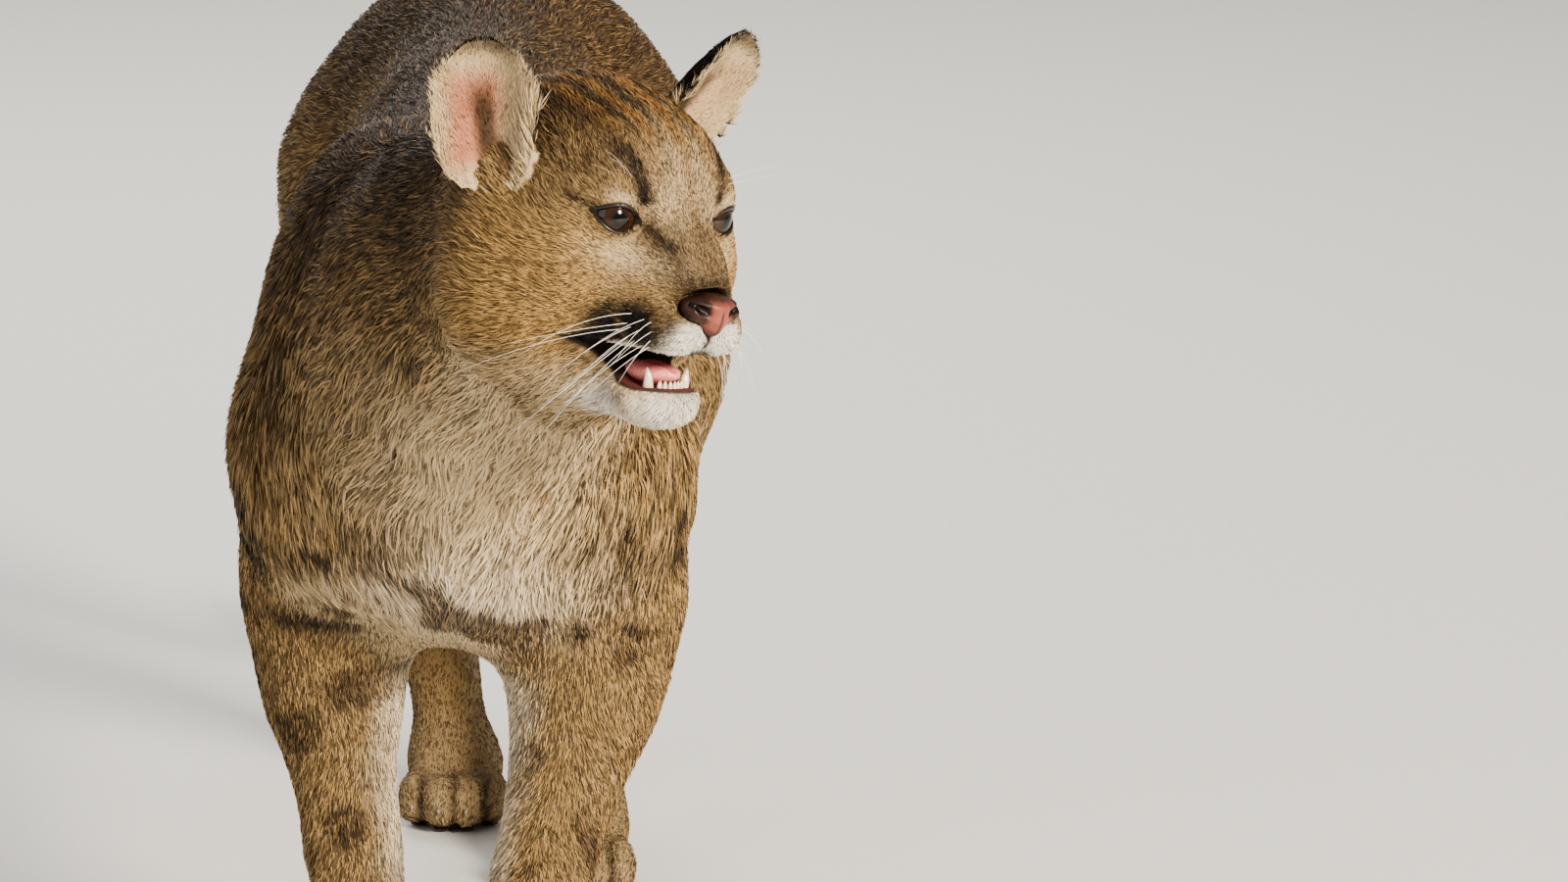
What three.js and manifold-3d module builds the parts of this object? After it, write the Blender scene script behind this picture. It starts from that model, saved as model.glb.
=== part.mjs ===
// A young adult cougar at life size, standing in mid-step with its head turned to its left and its mouth a little open.
// Millimetres, +Z up. The animal faces -Y, its left side is +X, and its soles rest on the floor.
// The flesh is one smooth field of muscle masses. Each node is that field, meshed over its own space and parted by thin cuts.

import * as THREE from "three";
import { mergeVertices } from "three/addons/utils/BufferGeometryUtils.js";
import Module from "manifold-3d";

const wasm = await Module();
wasm.setup();

const { abs, min, max, sqrt, hypot } = Math;
const degrees = THREE.MathUtils.degToRad;

// Driving dimensions
const gap = 0.3;
const trunkLength = 690;
const chestHalfWidth = 112;
const pawWidth = 76;
const pawLength = 100;
const pawHeight = 48;
const eyeSpacing = 66;
const eyeRadius = 13.5;

// The head's own frame has its origin midway between the eyes and the muzzle towards -Y.
const headPlace = new THREE.Vector3(118, -222, 579);
const headTurn = new THREE.Euler(degrees(4), degrees(8.6), degrees(40), "ZXY");
const headMatrix = new THREE.Matrix4().makeRotationFromEuler(headTurn).setPosition(headPlace);
const headInverse = headMatrix.clone().invert();

// Fields: each is a distance in millimetres from a point to a surface, negative inside.

function oval(centre, radii, turn = [0, 0, 0]) {
  const back = new THREE.Matrix4().makeRotationFromEuler(new THREE.Euler(...turn.map(degrees))).invert();
  const e = back.elements;
  return (x, y, z) => {
    const [dx, dy, dz] = [x - centre[0], y - centre[1], z - centre[2]];
    const px = (e[0] * dx + e[4] * dy + e[8] * dz) / radii[0];
    const py = (e[1] * dx + e[5] * dy + e[9] * dz) / radii[1];
    const pz = (e[2] * dx + e[6] * dy + e[10] * dz) / radii[2];
    const near = sqrt(px * px + py * py + pz * pz);
    const slope = hypot(px / radii[0], py / radii[1], pz / radii[2]);
    return slope < 1e-9 ? -min(...radii) : (near * (near - 1)) / slope;
  };
}

function limb(a, startRadius, b, endRadius) {
  const axis = [b[0] - a[0], b[1] - a[1], b[2] - a[2]];
  const squared = axis[0] ** 2 + axis[1] ** 2 + axis[2] ** 2;
  return (x, y, z) => {
    const [dx, dy, dz] = [x - a[0], y - a[1], z - a[2]];
    const t = min(max((dx * axis[0] + dy * axis[1] + dz * axis[2]) / squared, 0), 1);
    const aside = sqrt((dx - t * axis[0]) ** 2 + (dy - t * axis[1]) ** 2 + (dz - t * axis[2]) ** 2);
    return aside - startRadius - t * (endRadius - startRadius);
  };
}

const softMin = (a, b, k) => {
  const h = max(k - abs(a - b), 0) / k;
  return min(a, b) - (h * h * k) / 4;
};

// Masses are [field, width of its blend into what is there already]. A hollow is taken away with the same softness.
function blended(masses, hollows = []) {
  return (x, y, z) => {
    let d = masses[0][0](x, y, z);
    for (let i = 1; i < masses.length; i++) d = softMin(d, masses[i][0](x, y, z), masses[i][1]);
    for (const [hollow, k] of hollows) d = -softMin(-d, hollow(x, y, z), k);
    return d;
  };
}

const sides = [-1, 1];

// Trunk: chest, ribs, loin and pelvis along a level back
const trunkMasses = [
  [oval([0, 205, 430], [chestHalfWidth, 235, 146]), 0],
  [oval([0, 15, 408], [96, 112, 118]), 50],
  [oval([0, -38, 455], [76, 70, 82]), 40],
  [oval([0, 405, 462], [chestHalfWidth - 16, 215, 112]), 50],
  [oval([0, trunkLength - 125, 492], [88, 135, 108]), 45],
  [limb([0, 45, 548], 42, [0, 300, 534], 36), 50],
  [limb([0, 300, 534], 36, [0, 560, 566], 36), 50],
];
for (const side of sides) {
  trunkMasses.push([oval([side * 72, 62, 468], [42, 78, 122], [14, side * -8, 0]), 36]);
  trunkMasses.push([oval([side * 80, -12, 408], [44, 58, 76], [-16, 0, 0]), 30]);
  trunkMasses.push([oval([side * 66, trunkLength - 122, 450], [56, 108, 112]), 36]);
}

// Legs: [place, radius] from the shoulder or hip down to the paw, each in its own step
const legs = {
  foreleg_right: {
    side: -1,
    joints: [
      [[-80, 18, 410], 56],
      [[-81, 48, 318], 45],
      [[-77, 40, 262], 41],
      [[-65, 24, 165], 28],
      [[-57, 16, 105], 27.5],
      [[-53, 6, 48], 27],
    ],
    pawCentre: [-52, -12],
    cut: { place: [0, 20, 340], lean: 8, front: -110, back: 130 },
    split: 74,
    step: 22,
  },
  foreleg_left: {
    side: 1,
    joints: [
      [[80, 6, 410], 56],
      [[78, 16, 318], 45],
      [[70, -8, 268], 42],
      [[44, -66, 172], 29],
      [[32, -94, 108], 28],
      [[24, -110, 50], 27],
    ],
    pawCentre: [20, -130],
    cut: { place: [0, 10, 340], lean: 8, front: -220, back: 110 },
    split: 74,
    step: 22,
  },
  hindleg_right: {
    side: -1,
    joints: [
      [[-70, 565, 452], 74],
      [[-78, 538, 352], 55],
      [[-68, 640, 240], 38],
      [[-52, 745, 158], 24],
      [[-43, 728, 92], 22.5],
      [[-37, 708, 45], 25],
    ],
    pawCentre: [-34, 692],
    cut: { place: [0, 560, 362], lean: -10, front: 455, back: 900 },
    split: 128,
    step: 22,
  },
  hindleg_left: {
    side: 1,
    joints: [
      [[72, 545, 452], 74],
      [[88, 470, 358], 56],
      [[86, 528, 250], 41],
      [[66, 596, 158], 25],
      [[58, 578, 92], 23],
      [[53, 552, 45], 25],
    ],
    pawCentre: [52, 530],
    cut: { place: [0, 520, 362], lean: -10, front: 385, back: 720 },
    split: 128,
    step: 22,
  },
};

function legMasses({ joints }) {
  return joints.slice(1).map(([place, radius], i) => {
    const [from, fromRadius] = joints[i];
    return [limb(from, fromRadius, place, radius), i < 2 ? 34 : 20];
  });
}

// A paw: a pad of flesh and four toes fanned across its front, flat below
function pawMasses({ side, pawCentre: [x, y] }) {
  const masses = [[oval([x, y + 14, 27], [pawWidth * 0.41, pawLength * 0.38, pawHeight * 0.6]), 22]];
  for (let toe = 0; toe < 4; toe++) {
    const across = (toe - 1.5) / 1.5;
    const reach = toe === 0 || toe === 3 ? 0.27 : 0.4;
    const place = [x + across * pawWidth * 0.355, y - pawLength * reach, pawHeight * 0.4];
    masses.push([oval(place, [pawWidth * 0.15, pawLength * 0.21, pawHeight * 0.43], [12, 0, across * 9]), 7]);
  }
  return masses;
}

// Tail: hangs from the seat in a slack curve, its tip turned up
const tailPath = new THREE.CatmullRomCurve3([
  new THREE.Vector3(0, 640, 530),
  new THREE.Vector3(0, 712, 480),
  new THREE.Vector3(-8, 768, 372),
  new THREE.Vector3(-22, 812, 250),
  new THREE.Vector3(-40, 872, 150),
  new THREE.Vector3(-62, 962, 104),
  new THREE.Vector3(-80, 1050, 126),
]);
const tailRadius = (t) => 34 - 13 * min(t / 0.35, 1) - 1.5 * t;
const tailSteps = 14;
const tailMasses = [];
for (let i = 0; i < tailSteps; i++) {
  const [from, to] = [i / tailSteps, (i + 1) / tailSteps];
  const [a, b] = [tailPath.getPointAt(from), tailPath.getPointAt(to)];
  tailMasses.push([limb(a.toArray(), tailRadius(from), b.toArray(), tailRadius(to)), 1]);
}

// Head, in its own frame
const eyeX = eyeSpacing / 2;
const eyeY = 6;
const eyeZ = 9;
const headCore = [
  [oval([0, 64, 10], [60, 72, 63]), 0],
  [oval([0, 24, 18], [46, 38, 40]), 24],
  [limb([0, 8, 5], 24, [0, -22, -16], 20), 16],
  [limb([0, -22, -16], 20, [0, -41, -28], 13), 12],
  [oval([0, -14, -40], [31, 33, 22]), 16],
  [oval([0, 30, -36], [46, 50, 36]), 24],
];
for (const side of sides) {
  headCore.push([oval([side * 32, 14, eyeZ + 15], [20, 18, 11], [0, side * 12, 0]), 10]);
  headCore.push([oval([side * 46, 42, -22], [24, 44, 33]), 22]);
  headCore.push([oval([side * 48, 66, -48], [34, 46, 40]), 24]);
  headCore.push([oval([side * 14, -31, -44], [17.5, 20, 16]), 7]);
  headCore.push([oval([side * 42, 86, 22], [20, 18, 28], [0, side * 16, 0]), 16]);
}
const jawMasses = [
  [limb([0, 50, -72], 32, [0, 4, -82], 19), 18],
  [oval([0, -15, -86], [24, 22, 16]), 10],
];
const headHollows = [];
for (const side of sides) {
  headHollows.push([oval([side * (eyeX + 1), eyeY - 15, eyeZ - 1], [15, 12, 9]), 8]);
  headHollows.push([oval([side * 72, 56, 42], [22, 20, 30], [0, side * 10, 0]), 10]);
  headHollows.push([oval([side * 74, 50, 22], [20, 20, 22]), 12]);
}
const headField = blended([...headCore, ...jawMasses], headHollows);
const h = headInverse.elements;
const headInWorld = (x, y, z) =>
  headField(
    h[0] * x + h[4] * y + h[8] * z + h[12],
    h[1] * x + h[5] * y + h[9] * z + h[13],
    h[2] * x + h[6] * y + h[10] * z + h[14],
  );
const fromHead = (x, y, z) => new THREE.Vector3(x, y, z).applyMatrix4(headMatrix).toArray();

// Neck: from between the shoulders up to the back of the skull
const neckMasses = [
  [limb([0, 30, 478], 100, [24, -70, 520], 88), 50],
  [limb([24, -70, 520], 88, fromHead(0, 84, -12), 68), 40],
  [limb([0, -20, 420], 70, fromHead(0, 70, -62), 44), 40],
];

const trunkField = blended([...trunkMasses, ...neckMasses]);
const legFields = Object.fromEntries(
  Object.entries(legs).map(([name, leg]) => [name, blended([...legMasses(leg), ...pawMasses(leg)])]),
);
const tailField = blended(tailMasses);
const legBlend = 30;
function bodyField(x, y, z) {
  let d = trunkField(x, y, z);
  d = softMin(d, headInWorld(x, y, z), 34);
  for (const field of Object.values(legFields)) d = softMin(d, field(x, y, z), legBlend);
  return softMin(d, tailField(x, y, z), 24);
}

// Meshing: one vertex in each grid cell that the surface crosses, moved onto the surface, and one square across each crossed edge

const evenLines = (from, to, step) => {
  const count = Math.ceil((to - from) / step);
  return Array.from({ length: count + 1 }, (_, i) => from + ((to - from) * i) / count);
};

function gradedLines(from, to, stepAt) {
  const lines = [from];
  while (lines.at(-1) < to) lines.push(lines.at(-1) + stepAt(lines.at(-1)));
  return lines;
}

function meshField(field, [xs, ys, zs]) {
  const [nx, ny, nz] = [xs.length, ys.length, zs.length];
  const at = (i, j, k) => (k * ny + j) * nx + i;
  const values = new Float64Array(nx * ny * nz);
  for (let k = 0; k < nz; k++)
    for (let j = 0; j < ny; j++)
      for (let i = 0; i < nx; i++) {
        const rim = i === 0 || j === 0 || k === 0 || i === nx - 1 || j === ny - 1 || k === nz - 1;
        const d = field(xs[i], ys[j], zs[k]);
        values[at(i, j, k)] = rim ? max(d, 1) : d;
      }
  // Where a face's corners alternate, four squares would share one edge, so an outside corner of it counts as inside.
  const faceSteps = [1, nx, nx * ny];
  for (let pass = 0; pass < 3; pass++)
    for (let axis = 0; axis < 3; axis++) {
      const [du, dw] = [faceSteps[(axis + 1) % 3], faceSteps[(axis + 2) % 3]];
      for (let a = 0; a + du + dw < values.length; a++) {
        const corners = [a, a + du, a + dw, a + du + dw];
        const [p, q, r, s] = corners.map((c) => values[c] < 0);
        if (p === s && q === r && p !== q) values[p ? a + du : a] = -0.05;
      }
    }
  const cells = new Map();
  const positions = [];
  const vertexOf = (i, j, k) => {
    const key = at(i, j, k);
    if (cells.has(key)) return cells.get(key);
    const sum = [0, 0, 0];
    let crossings = 0;
    for (let axis = 0; axis < 3; axis++)
      for (let corner = 0; corner < 4; corner++) {
        const a = [i, j, k];
        a[(axis + 1) % 3] += corner & 1;
        a[(axis + 2) % 3] += corner >> 1;
        const b = [...a];
        b[axis] += 1;
        const [va, vb] = [values[at(...a)], values[at(...b)]];
        if (va < 0 === vb < 0) continue;
        const t = va / (va - vb);
        [xs, ys, zs].forEach((lines, n) => {
          sum[n] += lines[a[n]] + t * (lines[b[n]] - lines[a[n]]);
        });
        crossings++;
      }
    const p = sum.map((s) => s / crossings);
    const room = min(xs[i + 1] - xs[i], ys[j + 1] - ys[j], zs[k + 1] - zs[k]) * 0.3;
    const rimCell = i < 1 || j < 1 || k < 1 || i > nx - 3 || j > ny - 3 || k > nz - 3;
    if (!rimCell) {
      const e = 0.5;
      const d = field(...p);
      const slope = [0, 1, 2].map((n) => {
        const q = [...p];
        q[n] += e;
        return (field(...q) - d) / e;
      });
      const steep = slope[0] ** 2 + slope[1] ** 2 + slope[2] ** 2;
      if (steep > 0.05) for (let n = 0; n < 3; n++) p[n] -= min(max((d * slope[n]) / steep, -room), room);
    }
    positions.push(...p);
    cells.set(key, positions.length / 3 - 1);
    return positions.length / 3 - 1;
  };
  const index = [];
  for (let k = 0; k < nz - 1; k++)
    for (let j = 0; j < ny - 1; j++)
      for (let i = 0; i < nx - 1; i++)
        for (let axis = 0; axis < 3; axis++) {
          const next = [i, j, k];
          next[axis] += 1;
          const inside = values[at(i, j, k)] < 0;
          if (inside === values[at(...next)] < 0) continue;
          const [u, w] = [(axis + 1) % 3, (axis + 2) % 3];
          if (next[u] < 1 || next[w] < 1) continue;
          const corner = (du, dw) => {
            const c = [i, j, k];
            c[u] -= du;
            c[w] -= dw;
            return vertexOf(...c);
          };
          const ring = [corner(1, 1), corner(0, 1), corner(0, 0), corner(1, 0)];
          if (!inside) ring.reverse();
          index.push(ring[0], ring[1], ring[2], ring[0], ring[2], ring[3]);
        }
  const geometry = new THREE.BufferGeometry()
    .setAttribute("position", new THREE.Float32BufferAttribute(positions, 3))
    .setIndex(index);
  geometry.userData.welded = true;
  return geometry;
}

// Joining and cutting

function solidOf(geometry, matrix = new THREE.Matrix4()) {
  const bare = geometry.clone().applyMatrix4(matrix);
  bare.deleteAttribute("normal");
  bare.deleteAttribute("uv");
  const merged = bare.userData.welded ? bare : mergeVertices(bare, 1e-3);
  const made = new wasm.Manifold(
    new wasm.Mesh({
      numProp: 3,
      vertProperties: merged.attributes.position.array,
      triVerts: new Uint32Array(merged.index.array),
    }),
  );
  return made;
}

function geometryOf(solid) {
  const largest = solid.decompose().sort((a, b) => b.volume() - a.volume())[0];
  const { vertProperties, triVerts } = largest.getMesh();
  return new THREE.BufferGeometry()
    .setAttribute("position", new THREE.BufferAttribute(vertProperties, 3))
    .setIndex(new THREE.BufferAttribute(triVerts, 1));
}

// A closed skin over rings of equally many points, with a flat end on the first and the last
function skinOver(rings) {
  const count = rings[0].length;
  const index = [];
  for (let r = 0; r + 1 < rings.length; r++)
    for (let i = 0; i < count; i++) {
      const [a, b] = [r * count + i, r * count + ((i + 1) % count)];
      index.push(a, b, b + count, a, b + count, a + count);
    }
  const last = (rings.length - 1) * count;
  for (let i = 1; i + 1 < count; i++) {
    index.push(0, i + 1, i);
    index.push(last, last + i, last + i + 1);
  }
  return new THREE.BufferGeometry()
    .setAttribute("position", new THREE.Float32BufferAttribute(rings.flat().flatMap((p) => p.toArray()), 3))
    .setIndex(index);
}
const outward = (geometry) => {
  const solid = solidOf(geometry);
  if (solid.volume() > 0) return solid;
  const { array } = geometry.index;
  for (let i = 0; i < array.length; i += 3) [array[i + 1], array[i + 2]] = [array[i + 2], array[i + 1]];
  return solidOf(geometry);
};

// A long block whose face through `place` looks along `normal`; what it holds lies behind that face.
const reach = 3000;
function behind(place, normal, shift = 0) {
  const block = new THREE.BoxGeometry(reach, reach, reach);
  const n = new THREE.Vector3(...normal).normalize();
  const spin = new THREE.Quaternion().setFromUnitVectors(new THREE.Vector3(0, 0, 1), n);
  const middle = new THREE.Vector3(...place).addScaledVector(n, shift - reach / 2);
  return solidOf(block, new THREE.Matrix4().compose(middle, spin, new THREE.Vector3(1, 1, 1)));
}

// The space of one leg below its cut: a block under a leaning top face, on the leg's own side of the body
function legSpace({ side, cut: { place, lean, front, back } }, grow) {
  const size = [300, back - front + 2 * grow, 600];
  const turn = new THREE.Matrix4().makeRotationFromEuler(new THREE.Euler(degrees(lean), 0, 0));
  const top = place[2] + grow;
  const centre = new THREE.Vector3(side * (150 + 1 - grow), (front + back) / 2 - place[1], -300);
  centre.applyMatrix4(turn).add(new THREE.Vector3(0, place[1], top));
  return solidOf(new THREE.BoxGeometry(...size), turn.setPosition(centre));
}

const floorSide = behind([0, 0, 0], [0, 0, -1]);
const neckCut = { place: [8, -46, 500], normal: [0.16, -0.88, 0.3] };
const headCut = {
  place: fromHead(0, 92, 0),
  normal: new THREE.Vector3(0, 1, -0.22).transformDirection(headMatrix).toArray(),
};
const tailCut = { place: [0, 712, 480], normal: [0, 0.75, -0.66] };
const tailCuts = [0.3, 0.62].map((t) => ({
  place: tailPath.getPointAt(t).toArray(),
  normal: tailPath.getTangentAt(t).toArray(),
}));
const opposite = (n) => n.map((c) => -c);
const legSpaces = Object.fromEntries(
  Object.entries(legs).map(([name, leg]) => [name, [legSpace(leg, 0), legSpace(leg, gap)]]),
);

const coat = (color, roughness = 0.9) => new THREE.MeshStandardMaterial({ color, roughness, metalness: 0 });
const materials = {
  tan: coat(0xb08a5c),
  darkTan: coat(0x8f6e48),
  pale: coat(0xd9c6a4),
  black: coat(0x2b2220),
  nose: coat(0xb56a58, 0.55),
  tongue: coat(0xd98a84, 0.4),
  eye: coat(0x3a2a1c, 0.08),
};

const cougar = new THREE.Group();
function addNode(name, solid, material, matrix = new THREE.Matrix4()) {
  const mesh = new THREE.Mesh(geometryOf(solid), material);
  mesh.name = name;
  mesh.applyMatrix4(matrix);
  cougar.add(mesh);
}

const grid = (x0, x1, y0, y1, z0, z1, step) => [
  evenLines(x0, x1, step),
  evenLines(y0, y1, step),
  evenLines(z0, z1, step),
];
const unite = (list) => list.reduce((a, b) => a.add(b));

// Torso
const torsoGrid = grid(-180, 180, -170, 770, 240, 680, 33);
const torso = solidOf(meshField(bodyField, torsoGrid))
  .subtract(unite(Object.values(legSpaces).map(([, grown]) => grown)))
  .subtract(behind(neckCut.place, opposite(neckCut.normal)))
  .subtract(behind(tailCut.place, opposite(tailCut.normal)));
addNode("torso", torso, materials.tan);

// Neck
const neckGrid = grid(-170, 240, -280, 30, 320, 690, 24);
const neck = solidOf(meshField(bodyField, neckGrid))
  .intersect(behind(neckCut.place, opposite(neckCut.normal), -gap))
  .intersect(behind(headCut.place, opposite(headCut.normal), -gap));
addNode("neck", neck, materials.tan);

// Legs and paws
for (const [name, leg] of Object.entries(legs)) {
  const [space] = legSpaces[name];
  const { split, step } = leg;
  const [px, py] = leg.pawCentre;
  const top = leg.cut.place[2] + 90;
  const across = leg.side < 0 ? [-180, 40] : [-40, 180];
  const legGrid = grid(...across, leg.cut.front - 150, leg.cut.back + 150, 30, top, step);
  const upper = solidOf(meshField(bodyField, legGrid))
    .intersect(space)
    .intersect(behind([0, 0, split], [0, 0, -1]));
  addNode(name, upper, materials.tan);
  const pawGrid = [
    evenLines(px - 61, px + 61, 11),
    gradedLines(py - 75, py + 105, (y) => (y < py - 15 ? 10 : 18)),
    gradedLines(-24, split + 36, (z) => (z < 46 ? 10 : 18)),
  ];
  const paw = solidOf(meshField(blended([...legMasses(leg), ...pawMasses(leg)]), pawGrid))
    .intersect(behind([0, 0, split], [0, 0, 1], -gap))
    .intersect(floorSide);
  addNode(name.replace("leg", "paw"), paw, materials.darkTan);
}

// Tail in three lengths
const tailPieces = [
  ["tail_base", tailCut, tailCuts[0]],
  ["tail_middle", tailCuts[0], tailCuts[1]],
  ["tail_tip", tailCuts[1], null],
];
const tailGrid = grid(-70, 60, 600, 880, 240, 600, 19);
const tailRoot = solidOf(meshField((x, y, z) => softMin(tailField(x, y, z), trunkField(x, y, z), 24), tailGrid));
const tailRings = 20;
const tailSides = 12;
const frames = tailPath.computeFrenetFrames(tailRings, false);
const rings = [];
for (let r = 0; r <= tailRings; r++) {
  const t = r / tailRings;
  const radius = r === tailRings ? tailRadius(t) * 0.55 : tailRadius(t);
  const ring = [];
  for (let i = 0; i < tailSides; i++) {
    const turn = degrees((360 * i) / tailSides);
    ring.push(
      tailPath.getPointAt(t)
        .addScaledVector(frames.normals[r], radius * Math.cos(turn))
        .addScaledVector(frames.binormals[r], radius * Math.sin(turn)),
    );
  }
  rings.push(ring);
}
const tailRope = outward(skinOver(rings));
for (const [name, from, to] of tailPieces) {
  const whole = name === "tail_base" ? tailRoot : tailRope;
  let piece = whole.intersect(behind(from.place, opposite(from.normal), -gap));
  if (to) piece = piece.intersect(behind(to.place, to.normal));
  addNode(name, piece, name === "tail_tip" ? materials.black : materials.tan);
}

// Head
const inHead = (field) => (x, y, z) => {
  const e = headMatrix.elements;
  return field(
    e[0] * x + e[4] * y + e[8] * z + e[12],
    e[1] * x + e[5] * y + e[9] * z + e[13],
    e[2] * x + e[6] * y + e[10] * z + e[14],
  );
};
const headGrid = [
  gradedLines(-110, 110, (x) => (abs(x) < 52 ? 7 : 12)),
  gradedLines(-90, 150, (y) => (y < 14 ? 7 : 13)),
  gradedLines(-140, 100, (z) => (z > -78 && z < 26 ? 7 : 11)),
];
const headCutLocal = { place: [0, 92, 0], normal: [0, 1, -0.22] };
let head = solidOf(meshField(inHead(bodyField), headGrid)).intersect(behind(headCutLocal.place, headCutLocal.normal));

// Mouth: a wedge between the lips, from the corner under the eye to past the chin, right through from side to side
const lipLine = [
  [14, -57], [0, -58.6], [-12, -59.8], [-26, -58], [-80, -54],
  [-80, -76], [-38, -77], [-20, -79], [-6, -78], [4, -69],
];
const wedgeHalfWidth = 70;
function mouthWedge(inset) {
  const outline = new THREE.Shape(lipLine.map(([y, z]) => new THREE.Vector2(y - inset, z + inset)));
  const block = new THREE.ExtrudeGeometry(outline, { depth: 2 * wedgeHalfWidth, bevelEnabled: false });
  const alongX = new THREE.Matrix4().makeBasis(
    new THREE.Vector3(0, 1, 0), new THREE.Vector3(0, 0, 1), new THREE.Vector3(1, 0, 0),
  );
  return solidOf(block, alongX.setPosition(-wedgeHalfWidth, 0, 0));
}
head = head.subtract(mouthWedge(0));

// Nose leather, with its nostrils
const nosePlace = [0, -47.5, -28.5];
const noseMasses = [
  [oval(nosePlace, [14, 11, 10]), 0],
  [oval([0, nosePlace[1] - 3, nosePlace[2] - 8], [6, 7, 8]), 5],
];
const nostrils = [];
for (const side of sides) {
  noseMasses.push([oval([side * 12, nosePlace[1] + 1, nosePlace[2] - 1], [8.5, 9, 7.5]), 5]);
  nostrils.push([oval([side * 9.5, nosePlace[1] - 10, nosePlace[2] - 2], [4, 5, 2.6], [0, side * 24, 0]), 1]);
}
const noseLines = [evenLines(-28, 28, 4), evenLines(-70, -26, 4), evenLines(-51, -9, 4)];
const noseBlank = blended(noseMasses);
const nose = solidOf(meshField(blended(noseMasses, nostrils), noseLines));
head = head.subtract(solidOf(meshField((x, y, z) => noseBlank(x, y, z) - gap - 0.2, noseLines)));

// Eyes, and lids that wrap each one but for an almond opening
const lidThickness = 2.8;
const eyes = {};
for (const side of sides) {
  const place = [side * eyeX, eyeY, eyeZ];
  const ball = (radius) => solidOf(new THREE.SphereGeometry(radius, 14, 10), new THREE.Matrix4().setPosition(...place));
  const almond = new THREE.Shape();
  almond.moveTo(-13, -2.5);
  almond.quadraticCurveTo(-2, 11, 13, 2.5);
  almond.quadraticCurveTo(2, -9.5, -13, -2.5);
  const opening = new THREE.ExtrudeGeometry(almond, { depth: 40, bevelEnabled: false, curveSegments: 5 });
  const gaze = new THREE.Matrix4()
    .makeRotationFromEuler(new THREE.Euler(degrees(90), 0, degrees(side * 20), "ZXY"))
    .multiply(new THREE.Matrix4().makeScale(side, 1, 1));
  if (side < 0) {
    const { array } = (opening.index ??= opening.setIndex([...Array(opening.attributes.position.count).keys()]).index);
    for (let i = 0; i < array.length; i += 3) [array[i + 1], array[i + 2]] = [array[i + 2], array[i + 1]];
  }
  const cut = solidOf(opening, gaze.setPosition(...place));
  head = head.add(ball(eyeRadius + lidThickness)).subtract(cut).subtract(ball(eyeRadius + gap));
  eyes[side] = ball(eyeRadius);
}

// Lower jaw, parted from the head by a cut that runs back and down from the corner of the mouth
const mouthCorner = [0, lipLine[0][0] - 1, lipLine[0][1] - 0.5];
const jawSpace = (shift) => behind(mouthCorner, [0, 0.755, 0.656], shift).intersect(behind(mouthCorner, [0, -0.14, 0.99]));
let jaw = head.intersect(jawSpace(0));
head = head.subtract(jawSpace(gap));
const tooth = (x, y, z, radius, height, lean = 0) =>
  solidOf(
    new THREE.ConeGeometry(radius, height, 7).rotateX(degrees(90)),
    new THREE.Matrix4().makeRotationX(degrees(lean)).setPosition(x, y, z + height / 2),
  );
const gumHeight = -81;
const teeth = sides.map((side) => tooth(side * 12, -19, gumHeight, 3.4, 16, 8));
for (let i = 0; i < 6; i++) teeth.push(tooth((i - 2.5) * 3.1, -25 + abs(i - 2.5) * 0.8, gumHeight, 2.1, 8));
jaw = unite([jaw, ...teeth]);
const tongue = solidOf(new THREE.SphereGeometry(1, 16, 10), new THREE.Matrix4().makeScale(10, 16, 8).setPosition(0, -8, -74))
  .intersect(mouthWedge(gap + 0.3));

// Ears: a cupped blade each, thick in the middle and thin at the rim, cut to the head with the same gap
const ears = {
  ear_right: { base: [-73, 66, 12], tip: [-85, 73, 88], facing: [-0.7, -0.71, 0.1] },
  ear_left: { base: [57, 75, 26], tip: [89, 55, 99], facing: [0.25, -0.93, -0.26] },
};
const earRows = 9;
const earSteps = 8;
const earHalfWidth = 31;
const earOutline = (t) => earHalfWidth * sqrt(1 - ((t - 0.46) / 0.56) ** 2);
function earSolid({ base, tip, facing }) {
  const [root, top] = [new THREE.Vector3(...base), new THREE.Vector3(...tip)];
  const up = top.clone().sub(root).normalize();
  const front = new THREE.Vector3(...facing).projectOnPlane(up).normalize();
  const across = new THREE.Vector3().crossVectors(up, front);
  const length = top.distanceTo(root);
  const rings = [];
  for (let r = 0; r <= earRows; r++) {
    const t = -0.05 + (1.05 * r) / earRows;
    const half = earOutline(t);
    const cup = ((24 - 12 * t) * half) / earHalfWidth;
    const along = up.clone().multiplyScalar(t * length).add(root);
    const place = (a, lift) =>
      along.clone().addScaledVector(across, a * half).addScaledVector(front, lift + cup * (a * a - 0.6));
    const ring = [];
    for (let i = 0; i <= earSteps; i++) ring.push(place((2 * i) / earSteps - 1, 0));
    for (let i = earSteps - 1; i > 0; i--) {
      const a = (2 * i) / earSteps - 1;
      ring.push(place(a * 0.94, -(2.4 + 3.6 * (1 - a * a) * (1 - 0.5 * t))));
    }
    rings.push(ring);
  }
  return outward(skinOver(rings));
}
const headSkin = inHead(bodyField);
const headGrown = solidOf(meshField((x, y, z) => headSkin(x, y, z) - gap - 0.4, headGrid));

addNode("head", head, materials.tan, headMatrix);
addNode("lower_jaw", jaw, materials.pale, headMatrix);
addNode("tongue", tongue, materials.tongue, headMatrix);
addNode("nose", nose, materials.nose, headMatrix);
addNode("eye_right", eyes[-1], materials.eye, headMatrix);
addNode("eye_left", eyes[1], materials.eye, headMatrix);
for (const [name, ear] of Object.entries(ears))
  addNode(name, earSolid(ear).subtract(headGrown), materials.darkTan, headMatrix);

// The origin is under the middle of the whole animal, on the floor.
const box = new THREE.Box3().setFromObject(cougar, true);
const middle = box.getCenter(new THREE.Vector3());
cougar.position.set(-middle.x, -middle.y, -box.min.z);

export default cougar;
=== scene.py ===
import bpy, math
import numpy as np
from mathutils import Vector, Matrix, kdtree


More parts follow.
